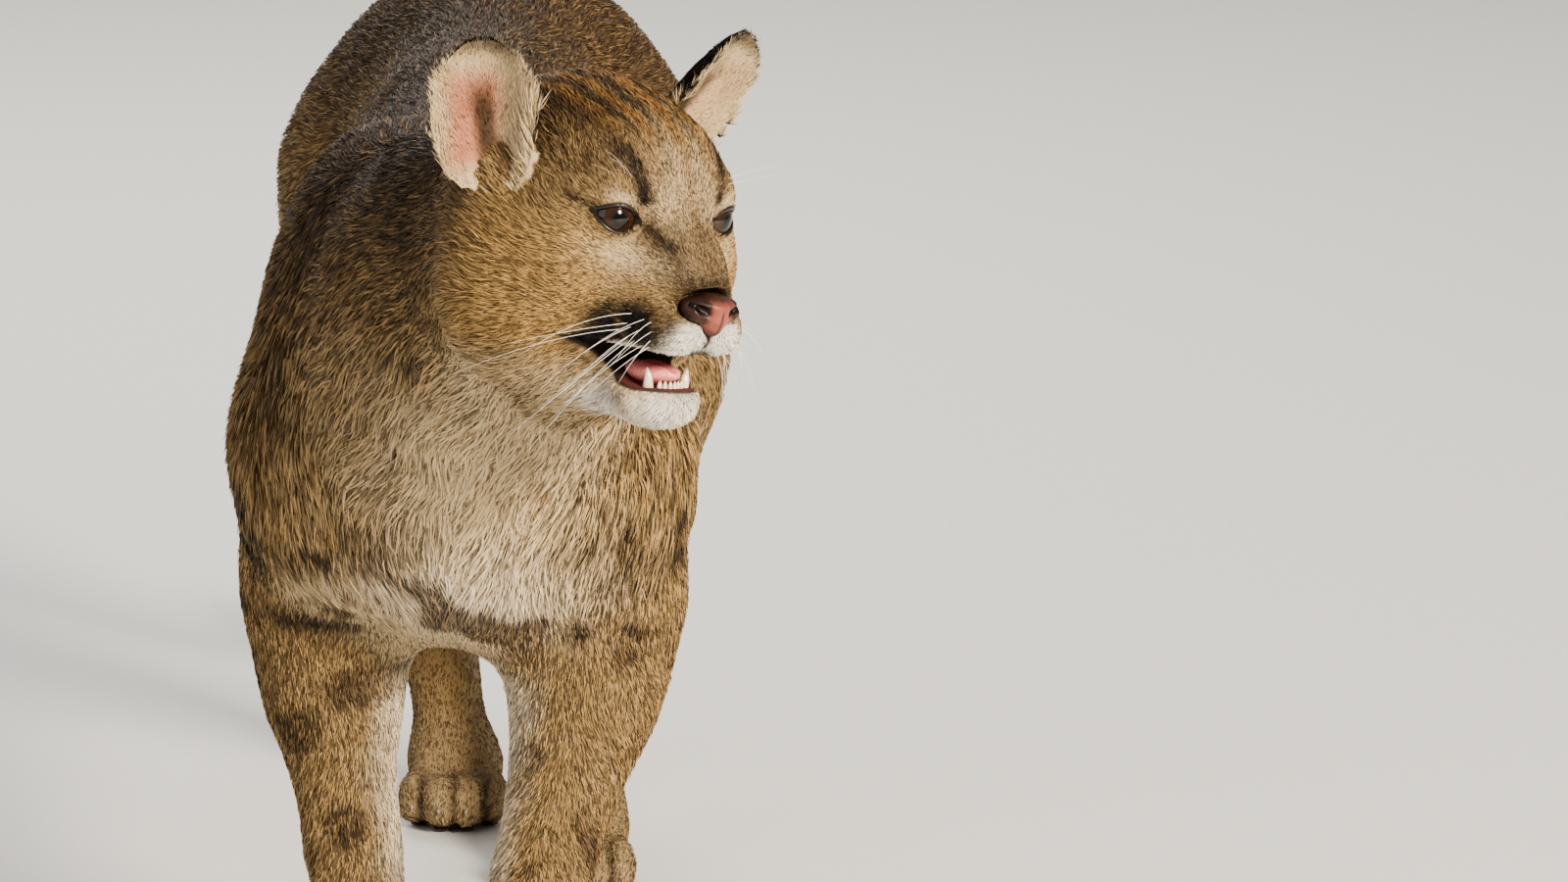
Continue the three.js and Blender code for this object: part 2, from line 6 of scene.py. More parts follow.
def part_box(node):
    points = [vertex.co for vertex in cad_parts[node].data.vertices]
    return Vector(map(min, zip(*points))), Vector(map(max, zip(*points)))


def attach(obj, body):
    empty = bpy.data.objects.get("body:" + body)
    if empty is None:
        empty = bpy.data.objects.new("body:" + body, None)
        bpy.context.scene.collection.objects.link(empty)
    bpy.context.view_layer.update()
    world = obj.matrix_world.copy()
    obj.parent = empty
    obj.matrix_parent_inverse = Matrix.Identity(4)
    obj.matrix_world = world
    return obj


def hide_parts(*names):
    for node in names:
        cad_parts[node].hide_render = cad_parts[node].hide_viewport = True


# A young adult cougar, life size, standing in mid-step. Metres, +Z up, the animal faces -Y.
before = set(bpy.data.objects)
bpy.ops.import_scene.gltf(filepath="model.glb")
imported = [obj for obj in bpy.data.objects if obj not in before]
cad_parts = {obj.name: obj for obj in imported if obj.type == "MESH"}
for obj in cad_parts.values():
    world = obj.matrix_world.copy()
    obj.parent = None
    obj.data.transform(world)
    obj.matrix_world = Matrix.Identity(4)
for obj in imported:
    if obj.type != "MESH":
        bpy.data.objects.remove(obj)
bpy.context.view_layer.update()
rng = np.random.default_rng(41)
print("stage: frame loaded")

perMetre = 1000  # millimetres in a metre
headPose = {"yaw": 40, "pitch": 4, "roll": 8.6, "eyes": (0, 0.006, 0.009), "fromFeet": (0.118, -0.222, 0.579)}
cameraView = {"fromHead": (0.0646, -4.278, 0.882), "down": 13.1, "film": 36, "lens": 36 * 8325 / 1600,
              "far": 60}

def middleOf(node):
    low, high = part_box(node)
    return (Vector(low) + Vector(high)) / 2

headTurn = (Matrix.Rotation(math.radians(headPose["yaw"]), 3, "Z")
            @ Matrix.Rotation(math.radians(headPose["pitch"]), 3, "X")
            @ Matrix.Rotation(math.radians(headPose["roll"]), 3, "Y"))
eyeMiddle = (middleOf("eye_right") + middleOf("eye_left")) / 2
headPlace = eyeMiddle - headTurn @ Vector(headPose["eyes"])
turnArray = np.array(headTurn)
placeArray = np.array(headPlace)
feetOrigin = placeArray - np.array(headPose["fromFeet"])  # on the floor, between the shoulders

def toHead(points):  # millimetres in the head's own frame
    return (points - placeArray) @ turnArray * perMetre

def fromHead(points):
    return np.asarray(points, float) / perMetre @ turnArray.T + placeArray

def toBody(points):  # millimetres in the body's frame
    return (points - feetOrigin) * perMetre

def fromBody(points):
    return np.asarray(points, float) / perMetre + feetOrigin

def addObject(name, data):
    thing = bpy.data.objects.new(name, data)
    bpy.context.scene.collection.objects.link(thing)
    return thing

def startMaterial(name, roughness):
    material = bpy.data.materials.new(name)
    material.use_nodes = True
    shader = material.node_tree.nodes["Principled BSDF"]
    shader.inputs["Roughness"].default_value = roughness
    return material, material.node_tree, shader

def makeView():
    camera = addObject("camera", bpy.data.cameras.new("camera"))
    camera.data.sensor_width = cameraView["film"]
    camera.data.lens = cameraView["lens"]
    camera.data.clip_end = cameraView["far"]
    camera.location = headPlace + Vector(cameraView["fromHead"])
    camera.rotation_euler = (math.radians(90 - cameraView["down"]), 0, 0)
    bpy.context.scene.camera = camera

studio = {"floor": (0.80, 0.79, 0.77), "floorSize": 14, "floorDrop": 0.0006, "floorRoughness": 0.85,
          "sky": (1.0, 0.98, 0.95), "skyStrength": 0.40, "aim": (0, -0.3, 0.4),
          "lamps": [{"place": (2.4, -3.3, 2.2), "size": 0.8, "power": 300, "tint": (1.0, 0.91, 0.77)},
                    {"place": (-2.6, -2.4, 1.6), "size": 2.4, "power": 22, "tint": (0.92, 0.95, 1.0)},
                    {"place": (-0.6, 2.8, 2.8), "size": 1.8, "power": 80, "tint": (1.0, 0.97, 0.92)}]}

def makeStudio():
    bpy.ops.mesh.primitive_plane_add(size=studio["floorSize"], location=(0, 0, -studio["floorDrop"]))
    floor = bpy.context.active_object
    floor.name = "floor"
    bpy.ops.object.transform_apply(location=True)
    material, _, shader = startMaterial("floorPaint", studio["floorRoughness"])
    shader.inputs["Base Color"].default_value = (*studio["floor"], 1)
    floor.data.materials.append(material)
    world = bpy.data.worlds.new("studio")
    bpy.context.scene.world = world
    bpy.context.scene.view_settings.look = "AgX - Medium High Contrast"
    world.use_nodes = True
    background = world.node_tree.nodes["Background"]
    background.inputs["Color"].default_value = (*studio["sky"], 1)
    background.inputs["Strength"].default_value = studio["skyStrength"]
    for i, light in enumerate(studio["lamps"]):
        lamp = addObject(f"lamp{i}", bpy.data.lights.new(f"lamp{i}", "AREA"))
        lamp.data.size = light["size"]
        lamp.data.energy = light["power"]
        lamp.data.color = light["tint"]
        lamp.location = light["place"]
        aim = Vector(studio["aim"]) - Vector(light["place"])
        lamp.rotation_euler = aim.to_track_quat("-Z", "Y").to_euler()

makeView()
makeStudio()
print("stage: camera and studio")

def unit(v):
    return v / np.maximum(np.linalg.norm(v, axis=-1, keepdims=True), 1e-9)

def ramp(x, low, high):
    t = np.clip((x - low) / (high - low), 0, 1)
    return t * t * (3 - 2 * t)

cloudMake = {"steps": (73856093, 19349663, 83492791), "seedStep": 7919, "scramble": 1274126177, "top": 0xFFFF}

def cloud(points, size, seed):  # soft random pattern from 0 to 1
    q = points / size
    cell = np.floor(q).astype(np.int64)
    f = q - cell
    f = f * f * (3 - 2 * f)
    total = np.zeros(len(points))
    for corner in np.ndindex(2, 2, 2):
        n = np.full(len(points), seed * cloudMake["seedStep"], np.int64)
        w = 1.0
        for k, step in enumerate(corner):
            n = n ^ (cell[:, k] + step) * cloudMake["steps"][k]
            w = w * (f[:, k] if step else 1 - f[:, k])
        n = (n ^ (n >> 13)) * cloudMake["scramble"]
        n = (n ^ (n >> 16)) & cloudMake["top"]
        total += w * n / cloudMake["top"]
    return total

def linear(rgb):
    c = np.asarray(rgb, float) / 255
    return np.where(c <= 0.04045, c / 12.92, ((c + 0.055) / 1.055) ** 2.4)

def only(*pieces):
    bpy.ops.object.select_all(action="DESELECT")
    for piece in pieces:
        piece.select_set(True)
    bpy.context.view_layer.objects.active = pieces[0]

def applyAll(piece):
    only(piece)
    for modifier in list(piece.modifiers):
        bpy.ops.object.modifier_apply(modifier=modifier.name)

def remeshed(piece, voxel):
    remesh = piece.modifiers.new("remesh", "REMESH")
    remesh.mode = "VOXEL"
    remesh.voxel_size = voxel
    applyAll(piece)
    piece.data.materials.clear()

def unwrapPiece(piece, angle, margin):
    only(piece)
    while piece.data.uv_layers:
        piece.data.uv_layers.remove(piece.data.uv_layers[0])
    piece.data.uv_layers.new(name="OFBake")
    bpy.ops.object.mode_set(mode="EDIT")
    bpy.ops.mesh.select_all(action="SELECT")
    bpy.ops.uv.smart_project(angle_limit=math.radians(angle), island_margin=margin)
    bpy.ops.object.mode_set(mode="OBJECT")

def readArray(items, key, width, kind=float):
    values = np.empty(len(items) * width, kind)
    items.foreach_get(key, values)
    return values.reshape(-1, width)

def coordinates(mesh):
    return readArray(mesh.vertices, "co", 3)

def putCoordinates(mesh, co):
    mesh.vertices.foreach_set("co", co.ravel())
    mesh.update()

def averaged(values, edges, amount, rounds):  # each value drifts towards its neighbours' mean
    degree = np.bincount(edges.ravel(), minlength=len(values)).astype(float)
    degree = np.maximum(degree, 1)[:, None]
    amount = np.asarray(amount, float).reshape(-1, 1) if np.ndim(amount) else amount
    for _ in range(rounds):
        total = np.zeros_like(values)
        for k in range(values.shape[1]):
            total[:, k] = np.bincount(edges[:, 0], values[edges[:, 1], k], len(values)) + \
                          np.bincount(edges[:, 1], values[edges[:, 0], k], len(values))
        values = values + amount * (total / degree - values)
    return values

# Markings: the coat's colour at each place. The face's are drawn in its front view, the same on both sides.
paint = {"tan": (178, 148, 102), "warm": (192, 155, 98), "cream": (236, 212, 170), "white": (255, 250, 238),
         "brown": (80, 60, 40), "dark": (46, 33, 26), "black": (16, 12, 12), "rufous": (168, 120, 62),
         "grey": (150, 124, 94), "pink": (214, 140, 112), "gum": (120, 62, 58), "shade": (102, 80, 53)}
paint = {name: linear(rgb) for name, rgb in paint.items()}

def laid(colour, name, mask):
    mask = np.clip(mask, 0, 1)[:, None]
    return colour * (1 - mask) + paint[name] * mask

def segmentDistance(p, a, b):  # from each point to the nearest place on the line from a to b
    a, b = np.array(a, float), np.array(b, float)
    t = np.clip(((p - a) @ (b - a)) / ((b - a) @ (b - a)), 0, 1)
    return np.linalg.norm(p - a - t[:, None] * (b - a), axis=1)

# Marks of the face, in the order they are laid. An amount in words is worked out in headColour.
faceEdge = {"fall": 0.9, "fade": 12}

def patch(tint, middle, radii, amount, edge=2, behind=45, also=None):
    return dict(tint=tint, middle=middle, radii=radii, amount=amount, edge=edge, behind=behind, also=also)

def bar(tint, ends, wide, amount, edge=2, behind=45):
    return dict(tint=tint, ends=ends, wide=wide, amount=amount, edge=edge, behind=behind, also=None)

foreheadMark = patch("grey", (0, 26), (30, 30), 0.7, 3, 60)
padMark = bar("black", ((32, -52), (41, -58)), 6, 1, 4, 30)
faceMarks = [patch("cream", (8, 30), (7, 24), "forehead", 2, 50),
             patch("cream", (18, 20), (7, 12), 0.65),
             bar("brown", ((0, -2), (0, -24)), 16, "bridge", 3),
             bar("brown", ((19, -4), (14, -24)), 6, 0.75),
             patch("dark", (6, -17), (9, 6), 0.55),
             patch("cream", (34, -10), (17, 9), 0.8),
             bar("cream", ((25, 19), (40, 21)), 4.5, 0.8),
             bar("dark", ((25.5, 22), (32, 43)), 5.0, "browBar", 3),
             bar("brown", ((32, 42), (36, 58)), 6, 0.6, 2, 70),
             bar("dark", ((20.5, 6), (18, -1)), 2.6, 0.8),
             bar("brown", ((18, -2), (15, -22)), 5, 0.45),
             bar("dark", ((47, 13), (55, 17)), 2.4, 0.8),
             patch("black", (33, -44), (13, 14), "pad", 4, 20, padMark),
             patch("white", (12, -50), (13.5, 13.5), 1, 6, 5),
             bar("white", ((16, -56), (27, -60)), 4.4, 0.95, 4, 5),
             *(bar("brown", ((17, row), (24, row - 1)), 0.8, 0.3, 4, 5) for row in (-42, -47, -52)),
             patch("white", (0, -91), (24, 15), 0.85, 5, 30),
             bar("black", ((0, -34), (0, -50)), 1.5, 0.9, 3, 0),
             patch("black", (3, -57), (5.5, 4), 0.95, 3, 0)]

def faceMask(h, mark):  # 1 in the middle of a mark, less at its edge, nothing behind the face
    wide, z = np.abs(h[:, 0]), h[:, 2]
    if "ends" in mark:
        d = segmentDistance(np.stack([wide, z], axis=1), *mark["ends"]) / mark["wide"]
    else:
        (out, up), (broad, high) = mark["middle"], mark["radii"]
        d = np.hypot((wide - out) / broad, (z - up) / high)
    ends = ramp(h[:, 1], mark["behind"] - faceEdge["fade"], mark["behind"] + faceEdge["fade"])
    mask = np.exp(-faceEdge["fall"] * d ** mark["edge"]) * (1 - ends)
    return np.maximum(mask, faceMask(h, mark["also"])) if mark["also"] else mask

# The distances, in millimetres of the head's own frame, over which each broad tone comes in.
headZones = {"cheekWide": (34, 50), "cheekLow": (-20, 10), "cheekEnd": (50, 95), "rear": (62, 100),
             "rearHigh": (-60, 0), "throatLow": (62, 90), "throatAhead": (-90, -20), "topHigh": (34, 66),
             "topBack": (0, 30), "crownHigh": (40, 62), "crownEnd": (34, 46), "templeWide": (24, 44),
             "templeHigh": (16, 40), "bridge": (0, 18)}

def headColour(points):
    h = toHead(points)
    x, y, z = h.T
    wide, zone = np.abs(x), headZones
    wobble = cloud(points, 0.012, 3) - 0.5
    streaky = cloud(points * (3.2, 3.2, 1), 0.016, 6) - 0.5
    c = np.tile(paint["tan"], (len(h), 1))
    c = laid(c, "grey", faceMask(h, foreheadMark) * 0.7)
    cheek = ramp(wide, *zone["cheekWide"]) * ramp(-z, *zone["cheekLow"]) * (1 - ramp(y, *zone["cheekEnd"]))
    c = laid(c, "warm", cheek * 0.8)
    # the back of the head darkens towards the neck: partly the fur's own grey-brown, partly painted shade
    # behind the cheeks
    c = laid(c, "shade", ramp(y, *zone["rear"]) * ramp(z, *zone["rearHigh"]) * 0.75)
    c = laid(c, "cream", ramp(-z, *zone["throatLow"]) * (0.5 + 0.5 * ramp(-y, *zone["throatAhead"])) * 0.75)
    c = laid(c, "shade", ramp(z + 16 * wobble, *zone["topHigh"]) * ramp(y, *zone["topBack"]) * 0.85)
    rows = np.sin(wide * 0.42 + 2.4 * wobble + 0.6)  # the dark lines that run back over the crown
    crown = ramp(z, *zone["crownHigh"]) * (1 - ramp(wide, *zone["crownEnd"]))
    c = laid(c, "rufous", crown * ramp(rows, -0.3, 0.7) * 0.7)
    c = laid(c, "dark", crown * ramp(-rows + 1.2 * streaky, 0.35, 0.9) * 0.7)
    c = laid(c, "shade", ramp(wide, *zone["templeWide"]) * ramp(z + 14 * wobble, *zone["templeHigh"]) * 0.6)
    amounts = {"forehead": 0.55 + 0.5 * streaky, "bridge": 0.42 + 0.35 * ramp(-z, *zone["bridge"]),
               "browBar": 0.92 + 0.6 * streaky, "pad": 1 - 0.3 * ramp(streaky, 0.1, 0.4)}
    for mark in faceMarks:
        c = laid(c, mark["tint"], faceMask(h, mark) * amounts.get(mark["amount"], mark["amount"]))
    return c

# The open mouth in the head's side view, as (y, z) corners.
mouthLine = np.array([(14, -57), (0, -58.6), (-12, -59.8), (-26, -58), (-80, -54),
                      (-80, -76), (-38, -77), (-20, -79), (-6, -78), (4, -69)], float)
farAway = 1e9
mouthReach = {"edge": 1.6, "back": 22, "top": -45, "bottom": -100}  # where the mouth's bare skin can be

def mouthDistance(h):  # distance in the head's side view from the open mouth, negative inside
    p = h[:, 1:3]
    best = np.full(len(p), farAway)
    inside = np.zeros(len(p), bool)
    for a, b in zip(mouthLine, np.roll(mouthLine, -1, axis=0)):
        best = np.minimum(best, segmentDistance(p, a, b))
        if a[1] != b[1]:
            crosses = (a[1] > p[:, 1]) != (b[1] > p[:, 1])
            inside ^= crosses & (p[:, 0] < a[0] + (p[:, 1] - a[1]) / (b[1] - a[1]) * (b[0] - a[0]))
    return np.where(inside, -best, best)

earPoses = {"ear_right": {"side": -1, "base": (-73, 66, 12), "tip": (-85, 73, 88), "facing": (-0.7, -0.71, 0.1),
                          "pink": 0.85},
            "ear_left": {"side": 1, "base": (57, 75, 26), "tip": (89, 55, 99), "facing": (0.25, -0.93, -0.26),
                         "pink": 0.25}}
earHalfWidth = 31

# Height up the ear, place across it towards the midline, how far it faces into the cup, and the ear's axes.
def earPlaces(name, points, normals):
    pose = earPoses[name]
    h = toHead(points)
    base, tip = np.array(pose["base"], float), np.array(pose["tip"], float)
    up = unit((tip - base)[None])[0]
    front = np.array(pose["facing"]) - np.dot(pose["facing"], up) * up
    front = front / np.linalg.norm(front)
    across = np.cross(up, front) * -pose["side"]
    height = (h - base) @ up / np.linalg.norm(tip - base)
    return height, (h - base) @ across / earHalfWidth, normals @ turnArray @ front, (up, across)

def earColour(c, points, normals, label):
    for name, pose in earPoses.items():
        mine = label == fleshNodes.index(name)
        if not mine.any():
            continue
        t, a, facing, _ = earPlaces(name, points[mine], normals[mine])
        inside = ramp(facing, -0.05, 0.3)
        back = np.tile(paint["dark"], (mine.sum(), 1))
        back = laid(back, "black", ramp(t, 0.1, 0.5) * 0.8)
        back = laid(back, "shade", (1 - ramp(t, 0.0, 0.4)) * 0.8)
        bare = ramp(0.66 - np.abs(a + 0.16), 0, 0.4) * ramp(t, 0.0, 0.2) * (1 - ramp(t, 0.62, 0.9))
        # painted shade: the hollow down the middle of the ear's cup is laid in brown
        hollowShade = ramp(0.30 - np.abs(a + 0.02 - 0.25 * (0.5 - t)), 0, 0.22) * ramp(0.8 - t, 0, 0.3)
        tuft = np.exp(-(((a - 0.5) / 0.28) ** 2 + ((t - 0.38) / 0.16) ** 2))
        cup = np.tile(paint["cream"], (mine.sum(), 1))
        cup = laid(cup, "pink", bare * pose["pink"])
        cup = laid(cup, "brown", hollowShade * 0.95)
        cup = laid(cup, "cream", tuft * 0.8)
        cup = laid(cup, "dark", ramp(t, 0.84, 0.98) * 0.75)
        c[mine] = back * (1 - inside[:, None]) + cup * inside[:, None]
    return c

pawPlaces = [(-52, -12), (20, -130), (-34, 692), (52, 530)]  # right and left fore, right and left hind
pawMake = {"toes": ((-27, -27), (-9, -40), (9, -40), (27, -27)), "claw": 5.5, "clefts": (-18, 0, 18),
           "cleftWide": 2.6, "cleftAhead": (22, 38), "cleftTop": (34, 44), "reach": 75, "splay": 0.004}

def toeClefts(b):  # the grooves between the toes, which sink the skin and carry painted shade
    best = np.zeros(len(b))
    for x, y in pawPlaces:
        across, ahead = b[:, 0] - x, y - b[:, 1]
        here = ramp(ahead, *pawMake["cleftAhead"]) * (1 - ramp(b[:, 2], *pawMake["cleftTop"]))
        here = here * (np.hypot(across, ahead) < pawMake["reach"])
        for line in pawMake["clefts"]:
            off = (across - line * (1 + pawMake["splay"] * ahead)) / pawMake["cleftWide"]
            best = np.maximum(best, np.exp(-off ** 2) * here)
    return best

# The distances, in millimetres of the body's frame, over which each tone comes in.
bodyZones = {"back": (340, 460), "ridge": (430, 520), "napeHigh": (430, 540), "napeEnd": (20, 120),
             "napeWide": (190, 260), "belly": (200, 300), "chestAhead": (-20, 60), "chestFrom": (290, 330),
             "chestTo": (440, 520), "chestWhite": (-400, -330), "legTop": (330, 400), "tailRoot": (750, 772),
             "hind": (200, 300), "shin": (20, 120), "spotsFrom": (60, 130), "hindSpots": (250, 350),
             "toes": (30, 90), "tail": (700, 740), "tailTip": (960, 990)}
chestMiddle, chestWidth = 6, (62, 44)

def bodyColour(points, normals):
    b = toBody(points)
    x, y, z = b.T
    zone, upright = bodyZones, normals[:, 2]
    wobble = cloud(points, 0.035, 5) - 0.5
    fine = cloud(points, 0.012, 9) - 0.5
    c = np.tile(paint["tan"], (len(b), 1))
    # the upward-facing back is darker: partly the coat's own darker back, partly painted shade
    c = laid(c, "shade", ramp(upright + 0.35 * wobble, -0.1, 0.7) * ramp(z, *zone["back"]) * 0.85)
    c = laid(c, "brown", ramp(upright + 0.2 * fine, 0.35, 0.95) * ramp(z, *zone["ridge"]) * 0.75)
    # the nape's brown is partly its own colour, partly painted shade
    nape = ramp(z, *zone["napeHigh"]) * (1 - ramp(y, *zone["napeEnd"]))
    c = laid(c, "brown", nape * ramp(np.abs(x - 60) + 0.3 * z, *zone["napeWide"]) * 0.55)
    c = laid(c, "cream", ramp(-upright, 0.25, 0.8) * ramp(z, *zone["belly"]) * 0.9)
    bib = np.exp(-((x - chestMiddle) / (chestWidth[0] + chestWidth[1] * wobble)) ** 2)
    bib = bib * ramp(-y, *zone["chestAhead"]) * ramp(z, *zone["chestFrom"]) * (1 - ramp(z, *zone["chestTo"]))
    c = laid(c, "cream", bib * 0.95)
    c = laid(c, "white", bib * ramp(-z, *zone["chestWhite"]) * 0.35)
    inward = ramp(-normals[:, 0] * np.where(x > 0, 1.0, -1.0) + 0.2 * fine - 0.1, 0.15, 0.95)
    inward = inward * (1 - ramp(z, *zone["legTop"])) * (1 - ramp(y, *zone["tailRoot"]))
    hind = ramp(y, *zone["hind"])
    c = laid(c, "cream", inward * (0.9 - 0.4 * hind))
    c = laid(c, "white", inward * (0.35 - 0.3 * hind) * ramp(z, *zone["shin"]))
    c = laid(c, "dark", stripeBand(b, wobble) * 0.85)
    spots = ramp(cloud(points, 0.027, 12), 0.68, 0.8) * (1 - inward)
    spots = spots * (1 - ramp(z, *zone["legTop"])) * ramp(z, *zone["spotsFrom"])
    c = laid(c, "brown", spots * (0.75 - 0.4 * ramp(y, *zone["hindSpots"])))
    c = laid(c, "cream", (1 - ramp(z, *zone["toes"])) * 0.35)
    # painted shade in the clefts between the toes
    c = laid(c, "dark", toeClefts(b) * 0.8)
    tail = ramp(y, *zone["tail"])
    c = laid(c, "brown", tail * ramp(upright + normals[:, 1] * 0.4, 0.0, 0.8) * 0.5)
    c = laid(c, "black", tail * ramp(y + 30 * fine, *zone["tailTip"]) * 0.95)
    return c

# The bars of each foreleg have a height and a width.
barMake = {"right": ((356, 10), (336, 10), (376, 7), (298, 6)), "left": ((362, 9), (342, 8), (306, 7)),
           "waver": 20, "slope": 0.10, "from": (-150, -110), "to": (110, 150), "outFrom": (44, 70)}

def stripeBand(b, wobble):  # the dark broken bars round the top of each foreleg
    x, y, z = b.T
    onLeg = ramp(y, *barMake["from"]) * (1 - ramp(y, *barMake["to"])) * ramp(np.abs(x), *barMake["outFrom"])
    rows = 0
    for side, name in ((-1, "right"), (1, "left")):
        for level, wide in barMake[name]:
            line = level + barMake["waver"] * wobble + barMake["slope"] * np.abs(x)
            rows = np.maximum(rows, np.exp(-((z - line) / wide) ** 2) * (np.sign(x) == side))
    return rows * onLeg * ramp(cloud(b / perMetre, 0.020, 21), 0.44, 0.60)

# Skin: one surface over all the flesh, inside the solids by the depth of the coat.
skinMake = {"bodyVoxel": 0.0055, "headVoxel": 0.0018, "swell": 0.0005, "weld": 1e-6, "bodyRounds": 26,
            "headRounds": 5, "overlap": 6, "neckCut": 92 * 0.977, "teeth": (18, -12, -76.4), "gumTop": -80}
faceBack = (0, 0.977, -0.215)  # from the face to the nape, in the head's frame
fleshNodes = ["torso", "neck", "head", "lower_jaw", "ear_right", "ear_left", "foreleg_right", "foreleg_left",
              "hindleg_right", "hindleg_left", "forepaw_right", "forepaw_left", "hindpaw_right", "hindpaw_left",
              "tail_base", "tail_middle", "tail_tip"]

def copyOfNodes(names, title, voxel):
    copies = []
    for name in names:
        copy = addObject(title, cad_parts[name].data.copy())
        if name == "lower_jaw":  # the teeth are a piece of their own
            h = toHead(coordinates(copy.data))
            wide, ahead, high = skinMake["teeth"]
            teeth = (np.abs(h[:, 0]) < wide) & (h[:, 1] < ahead) & (h[:, 2] > high)
            h[teeth, 2] = skinMake["gumTop"]
            putCoordinates(copy.data, fromHead(h))
        copies.append(copy)
    only(*copies)
    bpy.ops.object.join()
    piece = bpy.context.active_object
    piece.name = title
    bpy.ops.object.mode_set(mode="EDIT")
    bpy.ops.mesh.select_all(action="SELECT")
    bpy.ops.mesh.remove_doubles(threshold=skinMake["weld"])
    bpy.ops.object.mode_set(mode="OBJECT")
    swell = piece.modifiers.new("swell", "DISPLACE")
    swell.strength = skinMake["swell"]
    swell.mid_level = 0
    remeshed(piece, voxel)
    return piece

def dropFaces(piece, wrong):  # wrong holds one flag per vertex
    only(piece)
    bpy.ops.object.mode_set(mode="EDIT")
    bpy.ops.mesh.select_all(action="DESELECT")
    bpy.ops.mesh.select_mode(type="VERT")
    bpy.ops.object.mode_set(mode="OBJECT")
    piece.data.vertices.foreach_set("select", wrong)
    bpy.ops.object.mode_set(mode="EDIT")
    bpy.ops.mesh.delete(type="VERT")
    bpy.ops.object.mode_set(mode="OBJECT")

def nearestNodes(points):
    places, owners = [], []
    for i, name in enumerate(fleshNodes):
        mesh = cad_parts[name].data
        places += [coordinates(mesh), readArray(mesh.polygons, "center", 3)]
        owners.append(np.full(len(mesh.vertices) + len(mesh.polygons), i))
    places, owners = np.concatenate(places), np.concatenate(owners)
    tree = kdtree.KDTree(len(places))
    for i, p in enumerate(places):
        tree.insert(p, i)
    tree.balance()
    return owners[[tree.find(p)[1] for p in points]]

# Each lid has its height and the power of its curve. The eyeball is in metres, the lids in millimetres.
eyeMake = {"radius": 0.0142, "iris": 0.0112, "bulge": 0.0009, "place": (33, 6.6, 9), "splay": 20, "tilt": 9,
           "halfWidth": 14.2, "upper": (7.4, 2.2), "lower": (7.0, 2), "outerDrop": 0.12, "lidRadius": 15.6,
           "reach": 24, "sunk": 11.5, "far": 50.0, "near": 30, "edge": 0.4}

def eyeAxes(side):  # one eye's middle, the way across it and its gaze, in the head's frame
    splay = math.radians(eyeMake["splay"])
    place = np.array((side * eyeMake["place"][0], *eyeMake["place"][1:]))
    across = np.array((side * math.cos(splay), math.sin(splay), 0))
    return place, across, np.array((side * math.sin(splay), -math.cos(splay), 0))

def eyeView(h, side):  # across from the inner corner, up, and forward along the gaze, from one eye's middle
    place, acrossWay, gaze = eyeAxes(side)
    p, tilt = h - place, math.radians(eyeMake["tilt"])
    across, rise = p @ acrossWay, p[:, 2]
    turned = rise * math.cos(tilt) - across * math.sin(tilt)
    return across * math.cos(tilt) + rise * math.sin(tilt), turned, p @ gaze

def lidHeight(u, lid):
    e = np.clip(np.abs(u) / eyeMake["halfWidth"], 0, 1)
    height, power = eyeMake[lid]
    return height * (1 - e ** power) * np.where(u < 0, 1.0, 1.0 - eyeMake["outerDrop"] * e)

def lidGap(h):  # millimetres outside the opening of the nearer eye, negative within it
    best = np.full(len(h), eyeMake["far"])
    for side in (-1, 1):
        u, w, forward = eyeView(h, side)
        gap = np.where(w > 0, w - lidHeight(u, "upper"), -w - lidHeight(u, "lower"))
        gap = np.maximum(gap, np.abs(u) - eyeMake["halfWidth"])
        best = np.where((forward > 0) & (np.hypot(u, w) < eyeMake["near"]), np.minimum(best, gap), best)
    return best

def openLids(h):  # the skin lies on the lids, and is sunk behind the eyeball's front within the opening
    for side in (-1, 1):
        centre = eyeAxes(side)[0]
        away = h - centre
        reach = np.linalg.norm(away, axis=1)
        near = (reach < eyeMake["reach"]) & (eyeView(h, side)[2] > 0)
        outside = ramp(lidGap(h), -1.2, 0.5)
        lid = np.maximum(reach, eyeMake["lidRadius"] + eyeMake["edge"])
        target = eyeMake["sunk"] * (1 - outside) + lid * outside
        h[near] = (centre + away / np.maximum(reach, 1e-6)[:, None] * target[:, None])[near]
    return h

def makeSkin():
    body = copyOfNodes(fleshNodes, "skinBody", skinMake["bodyVoxel"])
    head = copyOfNodes(["neck", "head", "lower_jaw", "ear_right", "ear_left"], "skin", skinMake["headVoxel"])
    for piece, rounds in ((body, skinMake["bodyRounds"]), (head, skinMake["headRounds"])):
        co = coordinates(piece.data)
        edges = readArray(piece.data.edges, "vertices", 2, np.int64)
        if piece is body:  # the paws and the tail's end are smoothed less
            b = toBody(co)
            amount = 0.5 * (0.25 + 0.75 * ramp(b[:, 2], 50, 120)) * (1 - 0.65 * ramp(b[:, 1], 720, 800))
        else:
            amount = 0.5 * (0.5 + 0.5 * ramp(toHead(co)[:, 1], 20, 60))
        shrunk = averaged(co, edges, amount, rounds)
        co = averaged(shrunk, edges, -amount * 0.9, rounds // 3)
        if piece is head:
            co = fromHead(openLids(toHead(co)))
        putCoordinates(piece.data, co)
    for piece, side in ((head, 1), (body, -1)):
        behind = toHead(coordinates(piece.data)) @ faceBack - skinMake["neckCut"]
        dropFaces(piece, side * behind > skinMake["overlap"])
    for piece in (body, head):
        label = nearestNodes(coordinates(piece.data))
        attribute = piece.data.attributes.new("nodeOf", "INT", "POINT")
        attribute.data.foreach_set("value", label.astype(np.int32))
    only(head, body)
    bpy.ops.object.join()
    skin = bpy.context.active_object
    skin.name = "skin"
    return skin

skin = makeSkin()
label = readArray(skin.data.attributes["nodeOf"].data, "value", 1, np.int32)[:, 0]
print("stage: skin", len(skin.data.polygons), "faces")

